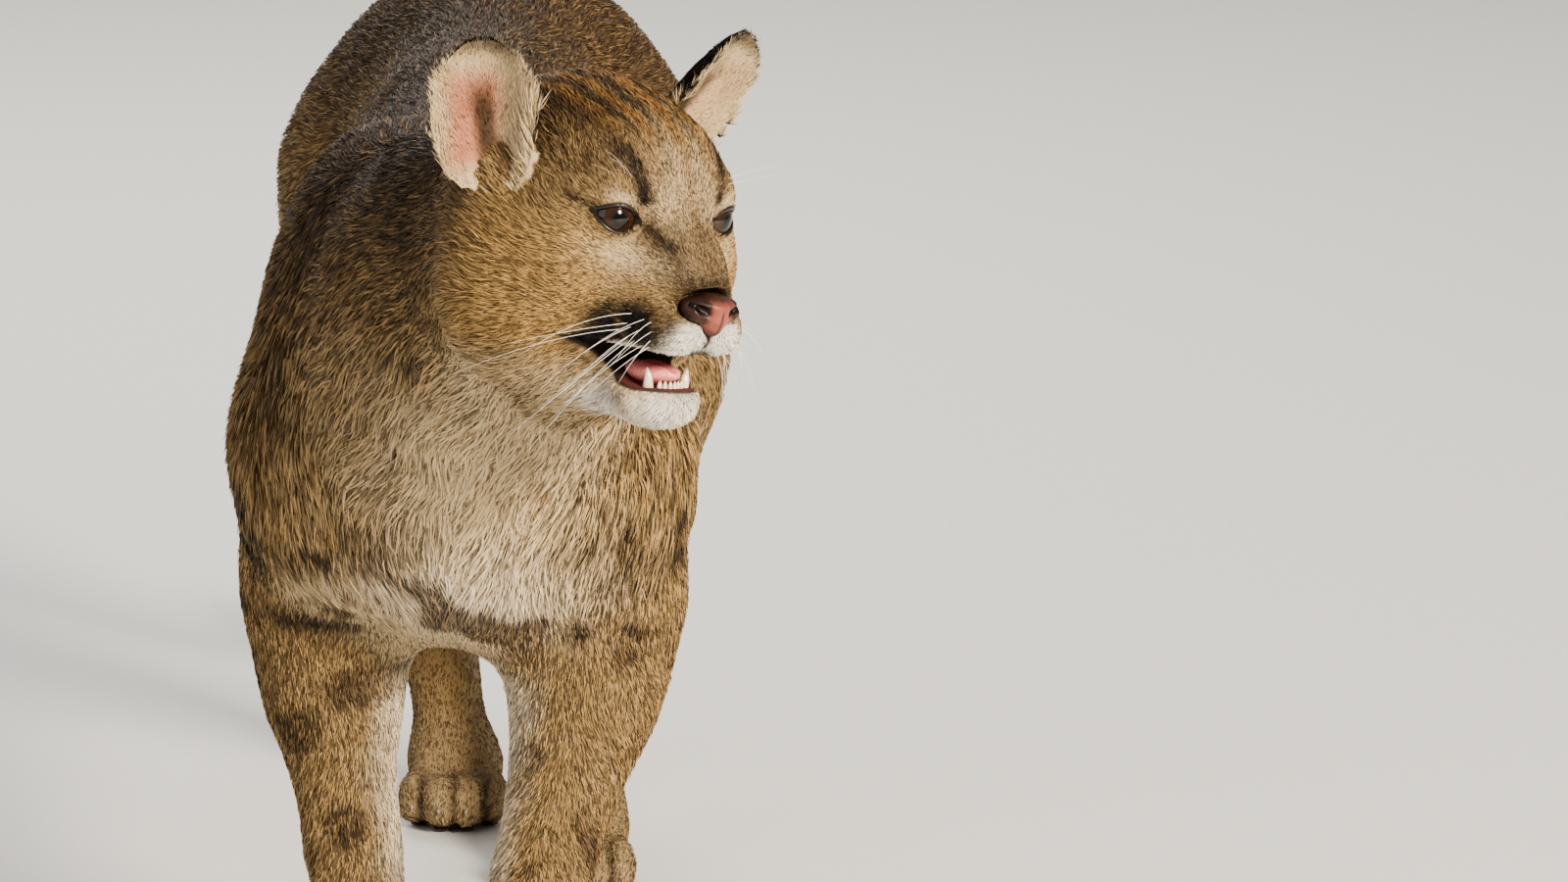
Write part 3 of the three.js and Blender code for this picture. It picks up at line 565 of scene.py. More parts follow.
# The coat at each place of the skin: its depth, the length of its hair and the way that lies.
coatDepth = {"torso": 5, "neck": 5.5, "head": 2.5, "lower_jaw": 2, "ear_right": 0.3, "ear_left": 0.3,
             "foreleg": 3.2, "hindleg": 3.2, "forepaw": 1.4, "hindpaw": 1.4, "tail_base": 4, "tail_middle": 4,
             "tail_tip": 4}
hairLength = {"torso": 10.5, "neck": 11.5, "head": 8, "lower_jaw": 7, "ear_right": 4.5, "ear_left": 4.5,
              "foreleg": 7, "hindleg": 7.5, "forepaw": 4.2, "hindpaw": 4.2, "tail_base": 10, "tail_middle": 10,
              "tail_tip": 11}
tailRoute = np.array([(0, 640, 530), (0, 712, 480), (-8, 768, 372), (-22, 812, 250), (-40, 872, 150),
                      (-62, 962, 104), (-80, 1050, 126)], float)
lieWays = {"back": (0.0, 1.0, -0.22), "leg": (0, 0.18, -1), "paw": (0, -0.75, -0.65),
           "neck": (-0.45, 0.7, -0.35)}
muzzle = np.array((0, -62, -34))  # the face's hair points away from here

def byNode(table, label):
    values = [table.get(name, table.get(name.rsplit("_", 1)[0])) for name in fleshNodes]
    return np.array(values, float)[label]

def coatFields(points, normals, label, edges):
    h, b = toHead(points), toBody(points)
    isHead = (label == fleshNodes.index("head")) | (label == fleshNodes.index("lower_jaw"))
    isEar = (label == fleshNodes.index("ear_right")) | (label == fleshNodes.index("ear_left"))
    face = ramp(h[:, 1], -30, 70)
    lid = lidGap(h)
    depth = byNode(coatDepth, label)
    depth = np.where(isHead, (0.6 + 2.8 * face) * ramp(lid, 1.5, 9), depth)
    length = byNode(hairLength, label)
    chin = ramp(-h[:, 2], 80, 90)
    length = np.where(isHead, (3.2 + 7.5 * face + 2.5 * chin) * (0.6 + 0.4 * ramp(lid, 2, 10)), length)
    chest = ramp(-b[:, 1], -30, 50) * ramp(b[:, 2], 310, 340) * (1 - ramp(b[:, 2], 480, 540))
    length = length + 8 * chest * (~isHead & ~isEar)
    lie = np.tile(lieWays["back"], (len(points), 1))
    lie[:, 2] -= 0.35 * (1 - np.abs(normals[:, 2]))
    nodeName = np.array(fleshNodes)[label]
    isLeg = np.char.find(nodeName, "leg") >= 0
    isPaw = np.char.find(nodeName, "paw") >= 0
    isNeck = nodeName == "neck"
    isTail = np.char.find(nodeName, "tail") >= 0
    lie[isLeg] = lieWays["leg"]
    lie[isPaw] = lieWays["paw"]
    front = ramp(-b[:, 1], -40, 40) * (~isHead & ~isEar & ~isLeg & ~isPaw & ~isTail)
    down = np.stack([-0.15 * np.sign(b[:, 0]), 0.1 * np.ones(len(b)), -np.ones(len(b))], axis=1)
    lie = lie * (1 - front[:, None]) + down * front[:, None]
    throat = 0.7 * ramp(-normals[isNeck, 2], -0.5, 0.5)[:, None]
    lie[isNeck] = np.array(lieWays["neck"]) + down[isNeck] * throat
    last = len(tailRoute) - 1
    steps = np.linspace(0, 1, 60) * last
    knots = np.stack([np.interp(steps, range(last + 1), tailRoute[:, k]) for k in range(3)], axis=1)
    near = np.argmin(np.linalg.norm(b[isTail][:, None] - knots[None], axis=2), axis=1)
    lie[isTail] = unit(np.gradient(knots, axis=0))[near]
    away = unit(h - muzzle)
    away[:, 2] += 0.25 * ramp(h[:, 2], -20, 20) - 0.25 * ramp(-h[:, 2], 40, 70)
    lie[isHead] = (away @ turnArray.T)[isHead]
    for name in earPoses:
        mine = label == fleshNodes.index(name)
        t, a, facing, (up, across) = earPlaces(name, points[mine], normals[mine])
        cup = ramp(facing, 0.0, 0.4)
        inwards = 0.9 * np.exp(-((a - 0.65) / 0.3) ** 2) * cup * (t < 0.62)
        lie[mine] = unit(up + across * (0.75 * a * cup - inwards)[:, None]) @ turnArray.T
        rim, tuft = ramp(np.abs(a), 0.5, 0.9), ramp(a, 0.3, 0.7) * (1 - ramp(t, 0.45, 0.75))
        length[mine] = 4.5 + cup * (4 * rim + 7 * tuft)
    depth = averaged(depth[:, None], edges, 0.5, 14)[:, 0]
    length = averaged(length[:, None], edges, 0.5, 10)[:, 0]
    lie = averaged(unit(lie), edges, 0.5, 14)
    lie = unit(lie - normals * np.sum(lie * normals, axis=1, keepdims=True))
    return depth / perMetre, length / perMetre, lie

points, normals = coordinates(skin.data), readArray(skin.data.vertex_normals, "vector", 3)
edges = readArray(skin.data.edges, "vertices", 2, np.int64)
depth, length, lie = coatFields(points, normals, label, edges)
isEar = np.isin(label, [fleshNodes.index("ear_right"), fleshNodes.index("ear_left")])
cleftDepth, lowest = 0.0026, 0.0004
inner = points - normals * (depth + cleftDepth * toeClefts(toBody(points)))[:, None]
inner[:, 2] = np.maximum(inner[:, 2], lowest)
putCoordinates(skin.data, inner)

def coatColour(points, normals, label):
    headward = 1 - ramp(toHead(points) @ faceBack, 78, 112)[:, None]
    c = bodyColour(points, normals) * (1 - headward) + headColour(points) * headward
    return earColour(c, points, normals, label)

def paintAttribute(mesh, colours):
    attribute = mesh.attributes.new("coatColour", "FLOAT_COLOR", "POINT")
    rgba = np.concatenate([colours, np.ones((len(colours), 1))], axis=1)
    attribute.data.foreach_set("color", rgba.astype(np.float32).ravel())

def skinColour(points, normals, label):
    h = toHead(points)
    c = coatColour(points, normals, label) * 0.72
    mouth = mouthDistance(h)
    near = (h[:, 1] < mouthReach["back"]) & (h[:, 2] < mouthReach["top"]) & (h[:, 2] > mouthReach["bottom"])
    c = laid(c, "black", (1 - ramp(mouth, 1.0, 3.2)) * near * 0.95)
    flat = ramp(np.abs(normals @ turnArray[:, 2]), 0.7, 0.95) * (np.abs(mouth) < mouthReach["edge"]) * near
    c = laid(c, "gum", flat * ramp(26 - np.abs(h[:, 0]), 0, 6) * 0.8)
    return laid(c, "black", (1 - ramp(lidGap(h), 1.5, 2.8)) * 0.95)

paintAttribute(skin.data, skinColour(points, normals, label))
skin.data.polygons.foreach_set("use_smooth", np.ones(len(skin.data.polygons), bool))

def addGrain(tree, scale, detail):  # fine noise that stays with the piece
    place = tree.nodes.new("ShaderNodeTexCoord")
    grain = tree.nodes.new("ShaderNodeTexNoise")
    grain.inputs["Scale"].default_value = scale
    grain.inputs["Detail"].default_value = detail
    tree.links.new(place.outputs["Object"], grain.inputs["Vector"])
    return grain

def addMottle(tree, shader, colour, grain, amount):  # the grain darkens the colour here and there
    mix = tree.nodes.new("ShaderNodeMix")
    mix.data_type = "RGBA"
    mix.blend_type = "MULTIPLY"
    mix.inputs["Factor"].default_value = amount
    tree.links.new(colour, mix.inputs["A"])
    tree.links.new(grain.outputs["Color"], mix.inputs["B"])
    tree.links.new(mix.outputs["Result"], shader.inputs["Base Color"])

def addBump(tree, shader, grain, strength, height):
    bump = tree.nodes.new("ShaderNodeBump")
    bump.inputs["Strength"].default_value = strength
    bump.inputs["Distance"].default_value = height
    tree.links.new(grain.outputs["Fac"], bump.inputs["Height"])
    tree.links.new(bump.outputs["Normal"], shader.inputs["Normal"])

def setStops(colourRamp, stops):  # stops: place from 0 to 1, and colour
    while len(colourRamp.elements) < len(stops):
        colourRamp.elements.new(0.5)
    for element, (place, rgb) in zip(colourRamp.elements, stops):
        element.position = place
        element.color = (*linear(rgb), 1)

def coatMaterial(name, roughness, bumpScale, bumpHeight):
    material, tree, shader = startMaterial(name, roughness)
    shader.inputs["Specular IOR Level"].default_value = 0.3
    colour = tree.nodes.new("ShaderNodeAttribute")
    colour.attribute_name = "coatColour"
    grain = addGrain(tree, bumpScale, 3)
    addMottle(tree, shader, colour.outputs["Color"], grain, 0.35)
    addBump(tree, shader, grain, 0.6, bumpHeight)
    return material

skin.data.materials.append(coatMaterial("skinUnderCoat", 0.85, 900, 0.0006))
skin.data.attributes.remove(skin.data.attributes["nodeOf"])
unwrapPiece(skin, 70, 0.002)
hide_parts(*fleshNodes)
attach(skin, "root")
print("stage: skin unwrapped and painted")

# Coat: tufts rooted in the skin, in pieces.
coatMake = {"headTufts": 185000, "earTufts": 22000, "bodyTufts": 530000, "width": 0.00088, "spread": 0.16,
            "sunk": 0.0005, "roll": 0.55, "bend": 0.45, "flow": 0.02, "uvSize": 0.0012}

def skinTriangles(mesh):
    mesh.calc_loop_triangles()
    uv = readArray(mesh.uv_layers["OFBake"].data, "uv", 2)
    loops = readArray(mesh.loop_triangles, "loops", 3, np.int64)
    return readArray(mesh.loop_triangles, "vertices", 3, np.int64), uv[loops]

def scatter(corners, uv, weight, count):
    a, b, c = (inner[corners[:, k]] for k in range(3))
    area = np.linalg.norm(np.cross(b - a, c - a), axis=1) / 2 * weight[corners].mean(axis=1)
    pick = np.searchsorted(np.cumsum(area) / area.sum(), rng.random(count))
    u, v = rng.random(count), rng.random(count)
    over = u + v > 1
    u[over], v[over] = 1 - u[over], 1 - v[over]
    share = np.stack([1 - u - v, u, v], axis=1)
    vertices = corners[pick]
    def blend(values):
        if values.ndim == 1:
            return np.sum(values[vertices] * share, axis=1)
        return np.einsum("nij,ni->nj", values[vertices], share)
    strongest = vertices[np.arange(count), np.argmax(share, axis=1)]
    return blend, np.einsum("nij,ni->nj", uv[pick], share), strongest

def trianglePiece(title, co, faces, uv, material):
    mesh = bpy.data.meshes.new(title)
    mesh.vertices.add(co.size // 3)
    mesh.vertices.foreach_set("co", co.ravel())
    mesh.loops.add(faces.size)
    mesh.loops.foreach_set("vertex_index", faces.ravel().astype(np.int32))
    mesh.polygons.add(faces.size // 3)
    mesh.polygons.foreach_set("loop_start", (np.arange(faces.size // 3) * 3).astype(np.int32))
    mesh.update(calc_edges=True)
    mesh.polygons.foreach_set("use_smooth", np.ones(faces.size // 3, bool))
    mesh.uv_layers.new(name="OFBake").data.foreach_set("uv", uv.ravel())
    mesh.materials.append(material)
    return addObject(title, mesh)

def buildTufts(title, root, normal, along, size, width, lift, tipColour, rootUv):  # bent, tapered blades
    n = len(root)
    roll = rng.normal(0, coatMake["roll"], n)[:, None]
    side = unit(np.cross(normal, along))
    side = unit(side * np.cos(roll) + normal * np.sin(roll))
    size, width, lift = size[:, None], width[:, None], lift[:, None]
    start = root - normal * coatMake["sunk"]
    rise = along * np.cos(lift) + normal * np.sin(lift)
    over = along * np.cos(lift * 0.2) + normal * np.sin(lift * 0.2)
    middle = root + rise * size * coatMake["bend"]
    tip = middle + over * size * (1 - coatMake["bend"])
    co = np.stack([start, middle + side * width * 0.5, middle - side * width * 0.5, tip], axis=1)
    turns = [0, 1, 2, 2, 1, 3]
    faces = (np.arange(n) * 4)[:, None] + np.array(turns)
    spot = np.array([(0, 0), (1, 1.2), (-1, 1.2), (0, 2.4)]) * coatMake["uvSize"]
    piece = trianglePiece(title, co, faces, (rootUv[:, None] + spot[None])[:, turns], coatFinish)
    rootColour = tipColour * 0.5
    half = rootColour * 0.35 + tipColour * 0.65
    paintAttribute(piece.data, np.stack([rootColour, half, half, tipColour], axis=1).reshape(-1, 3))
    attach(piece, "root")

def hairless(h):  # bare places: the open mouth, the eyes and the nose leather
    mouth = mouthDistance(h)
    bareMouth = (mouth < mouthReach["edge"]) & (h[:, 1] < mouthReach["back"]) & (h[:, 2] < mouthReach["top"])
    nose = np.linalg.norm((h - (0, -51, -29)) / (20, 12, 10), axis=1)
    return bareMouth | (lidGap(h) < 1.4) | (nose < 1)

def brightnessOf(colour):
    return colour @ np.array((0.3, 0.6, 0.1))

def ticked(colour, points, strength):  # dark and pale hairs among the rest
    draw, brightness = rng.random(len(colour)), brightnessOf(colour)
    dusky = 1 - ramp(brightness, 0.06, 0.2)
    clump = cloud(points, 0.006, 31) * 0.6 + cloud(points, 0.017, 32) * 0.4
    darkHair = draw < 0.33 * strength * (0.4 + 1.4 * clump)
    paleHair = draw > 1 - 0.30 * strength * (1 - 0.6 * dusky)
    bright = ramp(brightness, 0.35, 0.7)
    out = colour * ((0.62 + 0.72 * clump) * (1 - bright) + (0.92 + 0.2 * clump) * bright)[:, None]
    out[darkHair] = out[darkHair] * 0.32 + paint["dark"] * 0.15
    gain = np.broadcast_to(strength, draw.shape)[paleHair][:, None]
    out[paleHair] = out[paleHair] * (1 - 0.25 * gain) + paint["warm"] * 0.42 * gain
    return out

def growCoat(title, weight, count, pieces, widthFactor, strength, liftMean):
    blend, rootUv, strongest = scatter(corners, uvCorners, weight, count)
    root, normal, along = blend(inner), unit(blend(normals)), blend(lie)
    keep = ~hairless(toHead(root + normal * blend(depth)[:, None] * 0.3))
    root, normal, along, rootUv = root[keep], normal[keep], along[keep], rootUv[keep]
    n = len(root)
    size = blend(length)[keep] * rng.uniform(0.7, 1.25, n)
    swing = rng.normal(0, coatMake["spread"], n)[:, None]
    flow = (cloud(root, coatMake["flow"], 51) - 0.5)[:, None] * 0.9
    along = unit(along + np.cross(normal, along) * (swing + flow))
    lift = np.abs(rng.normal(liftMean, 0.09, n)) + 0.04
    width = coatMake["width"] * widthFactor * rng.uniform(0.7, 1.3, n)
    width = width * (0.55 + 0.45 * np.clip(size / 0.014, 0, 1.4))
    base = coatColour(root + along * size[:, None] * 0.6, normal, label[strongest[keep]])
    brightness = brightnessOf(base)
    calm = ramp(brightness, 0.45, 0.75) + (1 - ramp(brightness, 0.008, 0.03))
    tipColour = ticked(base, root, strength * (1 - 0.85 * np.clip(calm, 0, 1)))
    fields = (root, normal, along, size, width, lift, tipColour, rootUv)
    for k, part in enumerate(np.array_split(rng.permutation(n), pieces)):
        buildTufts(f"{title}{k + 1}", *(field[part] for field in fields))

coatFinish = coatMaterial("coatHair", 0.62, 1500, 0.0002)
corners, uvCorners = skinTriangles(skin.data)
headPart, bodyPart = toHead(inner), toBody(inner)
headward = 1 - ramp(headPart @ faceBack, 70, 110)
faceward = 2.2 - 1.2 * ramp(headPart[:, 1], -30, 50)
frontward = 0.55 + 0.9 * ramp(-bodyPart[:, 1], -220, -40)
pawward = 1 + 1.6 * (1 - ramp(bodyPart[:, 2], 60, 130))
earCover = np.ones(len(label))
for name in earPoses:
    mine = label == fleshNodes.index(name)
    t, a, facing, _ = earPlaces(name, inner[mine], normals[mine])
    earCover[mine] = 1 - 0.75 * ramp(facing, 0.0, 0.4) * ramp(0.6 - np.abs(a + 0.1), 0, 0.3)
# Each call: title, weight, tufts, pieces, width, how strongly ticked, lift in radians.
growCoat("coatHead", headward * faceward * ~isEar, coatMake["headTufts"], 2, 0.9, 0.8, 0.20)
growCoat("coatEar", earCover * isEar, coatMake["earTufts"], 1, 0.7, 0.3, 0.22)
growCoat("coatBody", (1 - headward) * frontward * pawward * ~isEar, coatMake["bodyTufts"], 6, 1.1, 1.0, 0.24)
print("stage: coat")

# Fine strands: each is a closed tapered tube along its own line.
def buildStrands(title, lines, radii, sides, material):
    n, m = lines.shape[:2]
    tangent = unit(np.gradient(lines, axis=1))
    first = unit(np.cross(tangent, (0.3, 0.2, 0.93)))
    second = np.cross(tangent, first)
    angle = np.arange(sides) * 2 * math.pi / sides
    ring = first[:, :, None] * np.cos(angle)[:, None] + second[:, :, None] * np.sin(angle)[:, None]
    rings = lines[:, :, None] + ring * radii[:, :, None, None]
    tips = np.stack([lines[:, 0], lines[:, -1] + tangent[:, -1] * radii[:, -1:] * 2], axis=1)
    co = np.concatenate([rings.reshape(n, m * sides, 3), tips], axis=1).reshape(-1, 3)
    faces = []
    for r in range(m - 1):
        for k in range(sides):
            a, b = r * sides + k, r * sides + (k + 1) % sides
            faces += [(a, b, b + sides), (a, b + sides, a + sides)]
    last = (m - 1) * sides
    for k in range(sides):
        faces += [(m * sides, (k + 1) % sides, k), (m * sides + 1, last + k, last + (k + 1) % sides)]
    faces = (np.array(faces)[None] + (np.arange(n) * (m * sides + 2))[:, None, None]).reshape(-1, 3)
    down = np.concatenate([np.repeat(np.arange(m) / m, sides), (0, 1)])
    around = np.concatenate([np.tile(np.arange(sides) / sides, m), (0.5, 0.5)])
    cellOf = np.arange(n)
    cells = int(math.ceil(math.sqrt(n)))
    u = ((cellOf % cells)[:, None] + 0.1 + 0.8 * around[None]) / cells
    v = ((cellOf // cells)[:, None] + 0.1 + 0.8 * down[None]) / cells
    uv = np.stack([u.ravel(), v.ravel()], axis=1)[faces.ravel()]
    piece = trianglePiece(title, co, faces, uv, material)
    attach(piece, "root")

def plainMaterial(name, low, high, roughness, scale, bumpHeight, coat=0.0):  # two close tones over a relief
    material, tree, shader = startMaterial(name, roughness)
    shader.inputs["Coat Weight"].default_value = coat
    shader.inputs["Coat Roughness"].default_value = 0.12
    grain = addGrain(tree, scale, 4)
    tones = tree.nodes.new("ShaderNodeValToRGB")
    setStops(tones.color_ramp, [(0.35, low), (0.68, high)])
    tree.links.new(grain.outputs["Fac"], tones.inputs["Fac"])
    tree.links.new(tones.outputs["Color"], shader.inputs["Base Color"])
    addBump(tree, shader, grain, 0.5, bumpHeight)
    return material

# The iris's colours, from the pupil's middle to the rim.
irisStops = [(0.0, (4, 3, 3)), (0.30, (6, 4, 4)), (0.38, (40, 25, 17)), (0.66, (62, 39, 25)),
             (0.88, (34, 22, 17)), (1.0, (14, 10, 9))]

def eyeMaterial(title):
    material, tree, shader = startMaterial(title, 0.12)
    shader.inputs["Specular IOR Level"].default_value = 0.2
    shader.inputs["Coat Weight"].default_value = 0.7
    shader.inputs["Coat Roughness"].default_value = 0.03
    attribute = tree.nodes.new("ShaderNodeAttribute")
    attribute.attribute_name = "irisReach"
    stops = tree.nodes.new("ShaderNodeValToRGB")
    setStops(stops.color_ramp, irisStops)
    tree.links.new(attribute.outputs["Fac"], stops.inputs["Fac"])
    addMottle(tree, shader, stops.outputs["Color"], addGrain(tree, 700, 2), 0.4)
    return material

def makeEye(side, node):
    place, _, gazeWay = eyeAxes(side)
    centre, gaze = Vector(fromHead(place)), headTurn @ Vector(gazeWay)
    bpy.ops.mesh.primitive_uv_sphere_add(segments=64, ring_count=48, radius=eyeMake["radius"], location=centre)
    eye = bpy.context.active_object
    eye.name = f"eyeball_{'left' if side > 0 else 'right'}"
    eye.rotation_mode = "QUATERNION"
    eye.rotation_quaternion = gaze.to_track_quat("Z", "Y")
    bpy.ops.object.transform_apply(location=True, rotation=True)
    co = coordinates(eye.data)
    offset = co - np.array(centre)
    forward = offset @ np.array(gaze)
    reach = np.linalg.norm(offset - forward[:, None] * np.array(gaze), axis=1)
    dome = np.where(forward > 0, np.clip(1 - (reach / eyeMake["iris"]) ** 2, 0, 1), 0)
    putCoordinates(eye.data, co + dome[:, None] * np.array(gaze) * eyeMake["bulge"])
    reach = np.where(forward > 0, reach / eyeMake["iris"], 2)
    attribute = eye.data.attributes.new("irisReach", "FLOAT", "POINT")
    attribute.data.foreach_set("value", np.clip(reach, 0, 1).astype(np.float32))
    eye.data.uv_layers[0].name = "OFBake"
    only(eye)
    bpy.ops.object.shade_smooth()
    eye.data.materials.append(eyeMaterial(f"{eye.name}Glaze"))
    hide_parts(node)
    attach(eye, "root")

def lidLine(side, lid, out=0.3):  # points along one lid's edge, from the inner corner to the outer
    u = np.linspace(-1, 1, 25) * (eyeMake["halfWidth"] + eyeMake["edge"])
    w = (lidHeight(u, lid) + out) * (1 if lid == "upper" else -1)
    tilt = math.radians(eyeMake["tilt"])
    across, rise = u * math.cos(tilt) - w * math.sin(tilt), u * math.sin(tilt) + w * math.cos(tilt)
    forward = np.sqrt(np.maximum(eyeMake["lidRadius"] ** 2 - u ** 2 - w ** 2, 16))
    place, acrossWay, gaze = eyeAxes(side)
    return fromHead(place + across[:, None] * acrossWay + forward[:, None] * gaze + rise[:, None] * (0, 0, 1))

def makeLids():
    dark = plainMaterial("lidEdge", (12, 9, 9), (34, 24, 21), 0.38, 900, 0.0002, 0.3)
    swell = np.sin(np.linspace(0.12, math.pi - 0.12, 25))
    for lid, thick in (("upper", 0.0014), ("lower", 0.0010)):
        lines, radii = [lidLine(side, lid) for side in (-1, 1)], [thick * (0.45 + 0.55 * swell)] * 2
        buildStrands(f"lids_{lid}", np.array(lines), np.array(radii), 8, dark)

makeEye(-1, "eye_right")
makeEye(1, "eye_left")
makeLids()
print("stage: eyes")

noseMake = {"voxel": 0.0008, "rounds": 8, "wide": 2.6, "deep": 3.6,
            "comma": [(8.5, -57.5, -30.5), (12.5, -55.5, -28.5), (16.5, -50, -27)],
            "topDrop": 2.2, "wingsIn": 0.10, "flesh": (158, 92, 78)}

def makeNose():
    nose = addObject("noseLeather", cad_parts["nose"].data.copy())
    remeshed(nose, noseMake["voxel"])
    edges = readArray(nose.data.edges, "vertices", 2, np.int64)
    h = toHead(averaged(coordinates(nose.data), edges, 0.5, noseMake["rounds"]))
    folded = np.stack([np.abs(h[:, 0]), h[:, 1], h[:, 2]], axis=1)
    slit = np.zeros(len(h))
    for a, b in zip(noseMake["comma"][:-1], noseMake["comma"][1:]):
        slit = np.maximum(slit, np.exp(-0.9 * (segmentDistance(folded, a, b) / noseMake["wide"]) ** 3))
    h[:, 1] += slit * noseMake["deep"]
    h[:, 2] -= noseMake["topDrop"] * ramp(h[:, 2], -30, -20)
    h[:, 0] *= 1 - noseMake["wingsIn"] * ramp(np.abs(h[:, 0]), 8, 20)
    putCoordinates(nose.data, fromHead(h))
    wide, z = np.abs(h[:, 0]), h[:, 2]
    mottled = cloud(fromHead(h), 0.0022, 71)
    c = np.tile(linear(noseMake["flesh"]), (len(h), 1)) * (0.8 + 0.35 * mottled)[:, None]
    # the sides of the nose leather are dark, its own dark rim; the right side (-x) darkens further in, and that
    # extra darkness is painted shade
    c = laid(c, "dark", ramp(wide - 0.12 * h[:, 0] + 4 * (mottled - 0.5), 5.2, 9.8) * 0.92)
    c = laid(c, "dark", ramp(z + 2 * mottled, -27, -21.5) * 0.9)
    c = laid(c, "dark", ramp(-z, 38, 43) * 0.7)
    c = laid(c, "black", (1 - ramp(wide, 0.3, 1.1)) * ramp(-z, 27, 32) * 0.7)
    c = laid(c, "black", ramp(slit, 0.12, 0.55))
    paintAttribute(nose.data, c)
    nose.data.polygons.foreach_set("use_smooth", np.ones(len(nose.data.polygons), bool))
    nose.data.materials.append(coatMaterial("noseSkin", 0.34, 1300, 0.0004))
    unwrapPiece(nose, 66, 0.005)
    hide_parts("nose")
    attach(nose, "root")

makeNose()
print("stage: nose")

tongueMake = {"middle": (0, -9, -73.5), "radii": (13.5, 19, 6.5)}

def makeTongue():
    bpy.ops.mesh.primitive_uv_sphere_add(segments=48, ring_count=32, radius=1)
    tongue = bpy.context.active_object
    tongue.name = "tongueFlesh"
    co = coordinates(tongue.data)
    ahead = -co[:, 1]
    groove = np.exp(-(co[:, 0] / 0.22) ** 2) * ramp(co[:, 2], 0, 0.6)
    co[:, 2] = co[:, 2] - 0.30 * groove + 0.35 * ramp(ahead, 0.2, 1.0)
    co[:, 0] *= 1 - 0.25 * ramp(ahead, 0.3, 1.0)
    putCoordinates(tongue.data, fromHead(co * tongueMake["radii"] + tongueMake["middle"]))
    tongue.data.uv_layers[0].name = "OFBake"
    only(tongue)
    bpy.ops.object.shade_smooth()
    flesh = plainMaterial("tongueSkin", (222, 124, 120), (246, 168, 158), 0.3, 1100, 0.0006, 0.5)
    tongue.data.materials.append(flesh)
    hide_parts("tongue")
    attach(tongue, "root")

def makeTeeth():
    enamel = plainMaterial("enamel", (222, 206, 172), (248, 240, 222), 0.22, 300, 0.0001, 0.5)
    steps = np.linspace(0, 1, 9)
    lines, radii = [], []
    for side in (-1, 1):
        ahead = -21 + 3.4 * steps ** 2 - 2.2 * steps
        lines.append(np.stack([side * (12 + 1.8 * steps), ahead, -81 + 12.5 * steps], axis=1))
        radii.append(0.0028 * (1 - steps ** 1.6) ** 0.7 + 0.0003)
    for i in range(6):
        out = i - 2.5
        across, ahead = np.full(9, out * 3.0), np.full(9, -27 + abs(out) * 0.8)
        lines.append(np.stack([across, ahead, -80 + 5.2 * steps], axis=1))
        radii.append(0.0014 * (1 - 0.75 * steps ** 4))
    buildStrands("teeth", fromHead(np.array(lines)), np.array(radii), 10, enamel)

makeTongue()
makeTeeth()
print("stage: tongue and teeth")

whiskerMake = {"rows": 4, "each": 4, "steps": 14, "thick": 0.00026}

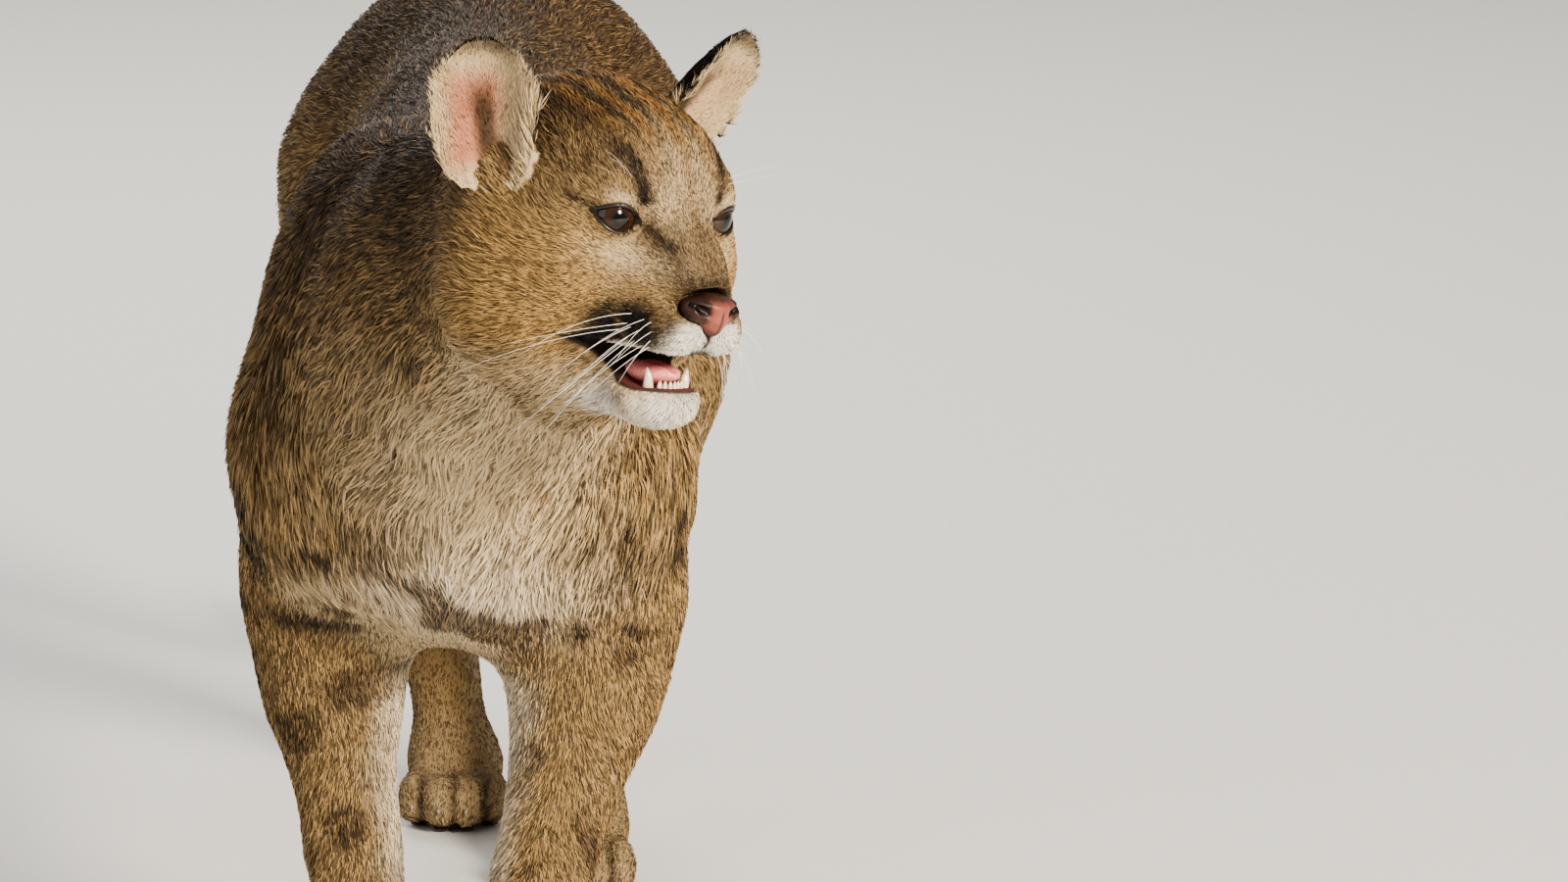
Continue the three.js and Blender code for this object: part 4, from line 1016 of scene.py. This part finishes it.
def makeWhiskers():
    h = toHead(inner)
    white = plainMaterial("whiskerHair", (226, 218, 204), (250, 246, 238), 0.35, 400, 0.0001)
    steps = np.linspace(0, 1, whiskerMake["steps"])[:, None]
    lines, radii = [], []
    def grow(root, way, droop, size, thick):
        lines.append(root + size * (steps * unit(np.array(way)) + steps ** 2 * np.array(droop)))
        radii.append(thick * (1 - 0.82 * steps[:, 0] ** 1.2))
    for side in (-1, 1):
        for row, k in np.ndindex(whiskerMake["rows"], whiskerMake["each"]):
            y, z = -37 + 6.5 * k + rng.normal(0, 1.8), -41 - 4.2 * row + rng.normal(0, 1.2)
            if rng.random() < 0.22:
                continue
            pad = (h[:, 0] * side > 8) & (np.abs(h[:, 1] - y) < 2.4) & (np.abs(h[:, 2] - z) < 2.4)
            if not pad.any():
                continue
            size = (22 + 15 * k + 4 * row) * rng.uniform(0.65, 1.25)
            out, back, drop = rng.normal(0.84, 0.1), rng.normal(0, 0.16), rng.normal(0, 0.16)
            way = (side * out, 0.12 + 0.10 * k + back, -0.12 - 0.22 * row + drop)
            droop = (side * -0.08, 0.16 + rng.normal(0, 0.1), -0.3 + rng.normal(0, 0.14))
            grow(h[pad].mean(axis=0), way, droop, size, whiskerMake["thick"] * rng.uniform(0.7, 1.1))
        for k in range(3):  # the hairs over each eye
            brow = np.array((side * (26 + 4 * k), 4 + 2 * k, 24 + 1.2 * k))
            near = np.argmin(np.linalg.norm(h - brow, axis=1))
            way = (side * rng.normal(0.5, 0.1), -0.75, 0.55 + rng.normal(0, 0.08))
            grow(h[near], way, (side * 0.3, 0.3, -0.1), rng.uniform(34, 48), whiskerMake["thick"] * 0.55)
    buildStrands("whiskers", fromHead(np.array(lines)), np.array(radii), 5, white)

makeWhiskers()
print("stage: whiskers")

def makePads():  # one pad under each toe and a broad one behind them
    parts = []
    for x, y in pawPlaces:
        for across, ahead in pawMake["toes"]:
            parts.append(((x + across * 0.85, y + ahead + 2, 1.5), (5.8, 7.5, 1.4)))
        parts.append(((x, y + 8, 1.5), (16, 13, 1.4)))
    pads = []
    for place, radii in parts:
        bpy.ops.mesh.primitive_uv_sphere_add(segments=20, ring_count=12, radius=1)
        pad = bpy.context.active_object
        putCoordinates(pad.data, fromBody(coordinates(pad.data) * radii + place))
        pad.data.uv_layers[0].name = "OFBake"
        pads.append(pad)
    only(*pads)
    bpy.ops.object.join()
    bpy.ops.object.shade_smooth()
    pads = bpy.context.active_object
    pads.name = "pads"
    pads.data.materials.append(plainMaterial("padSkin", (40, 30, 27), (74, 56, 50), 0.7, 700, 0.0008))
    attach(pads, "root")

def makeClaws():  # only the tips show, between the hairs of the toes
    horn = plainMaterial("clawHorn", (96, 78, 60), (190, 172, 146), 0.35, 500, 0.0002, 0.3)
    steps = np.linspace(0, 1, 8)
    lines, radii = [], []
    for x, y in pawPlaces:
        for across, ahead in pawMake["toes"]:
            line = np.stack([np.full(8, x + across), y + ahead - 15 - pawMake["claw"] * np.sin(steps * 1.3),
                             19 - pawMake["claw"] * (1 - np.cos(steps * 1.3))], axis=1)
            lines.append(line)
            radii.append(0.0016 * (1 - steps ** 1.5) ** 0.8 + 0.0002)
    buildStrands("claws", fromBody(np.array(lines)), np.array(radii), 8, horn)

makePads()
makeClaws()
print("stage: pads and claws")
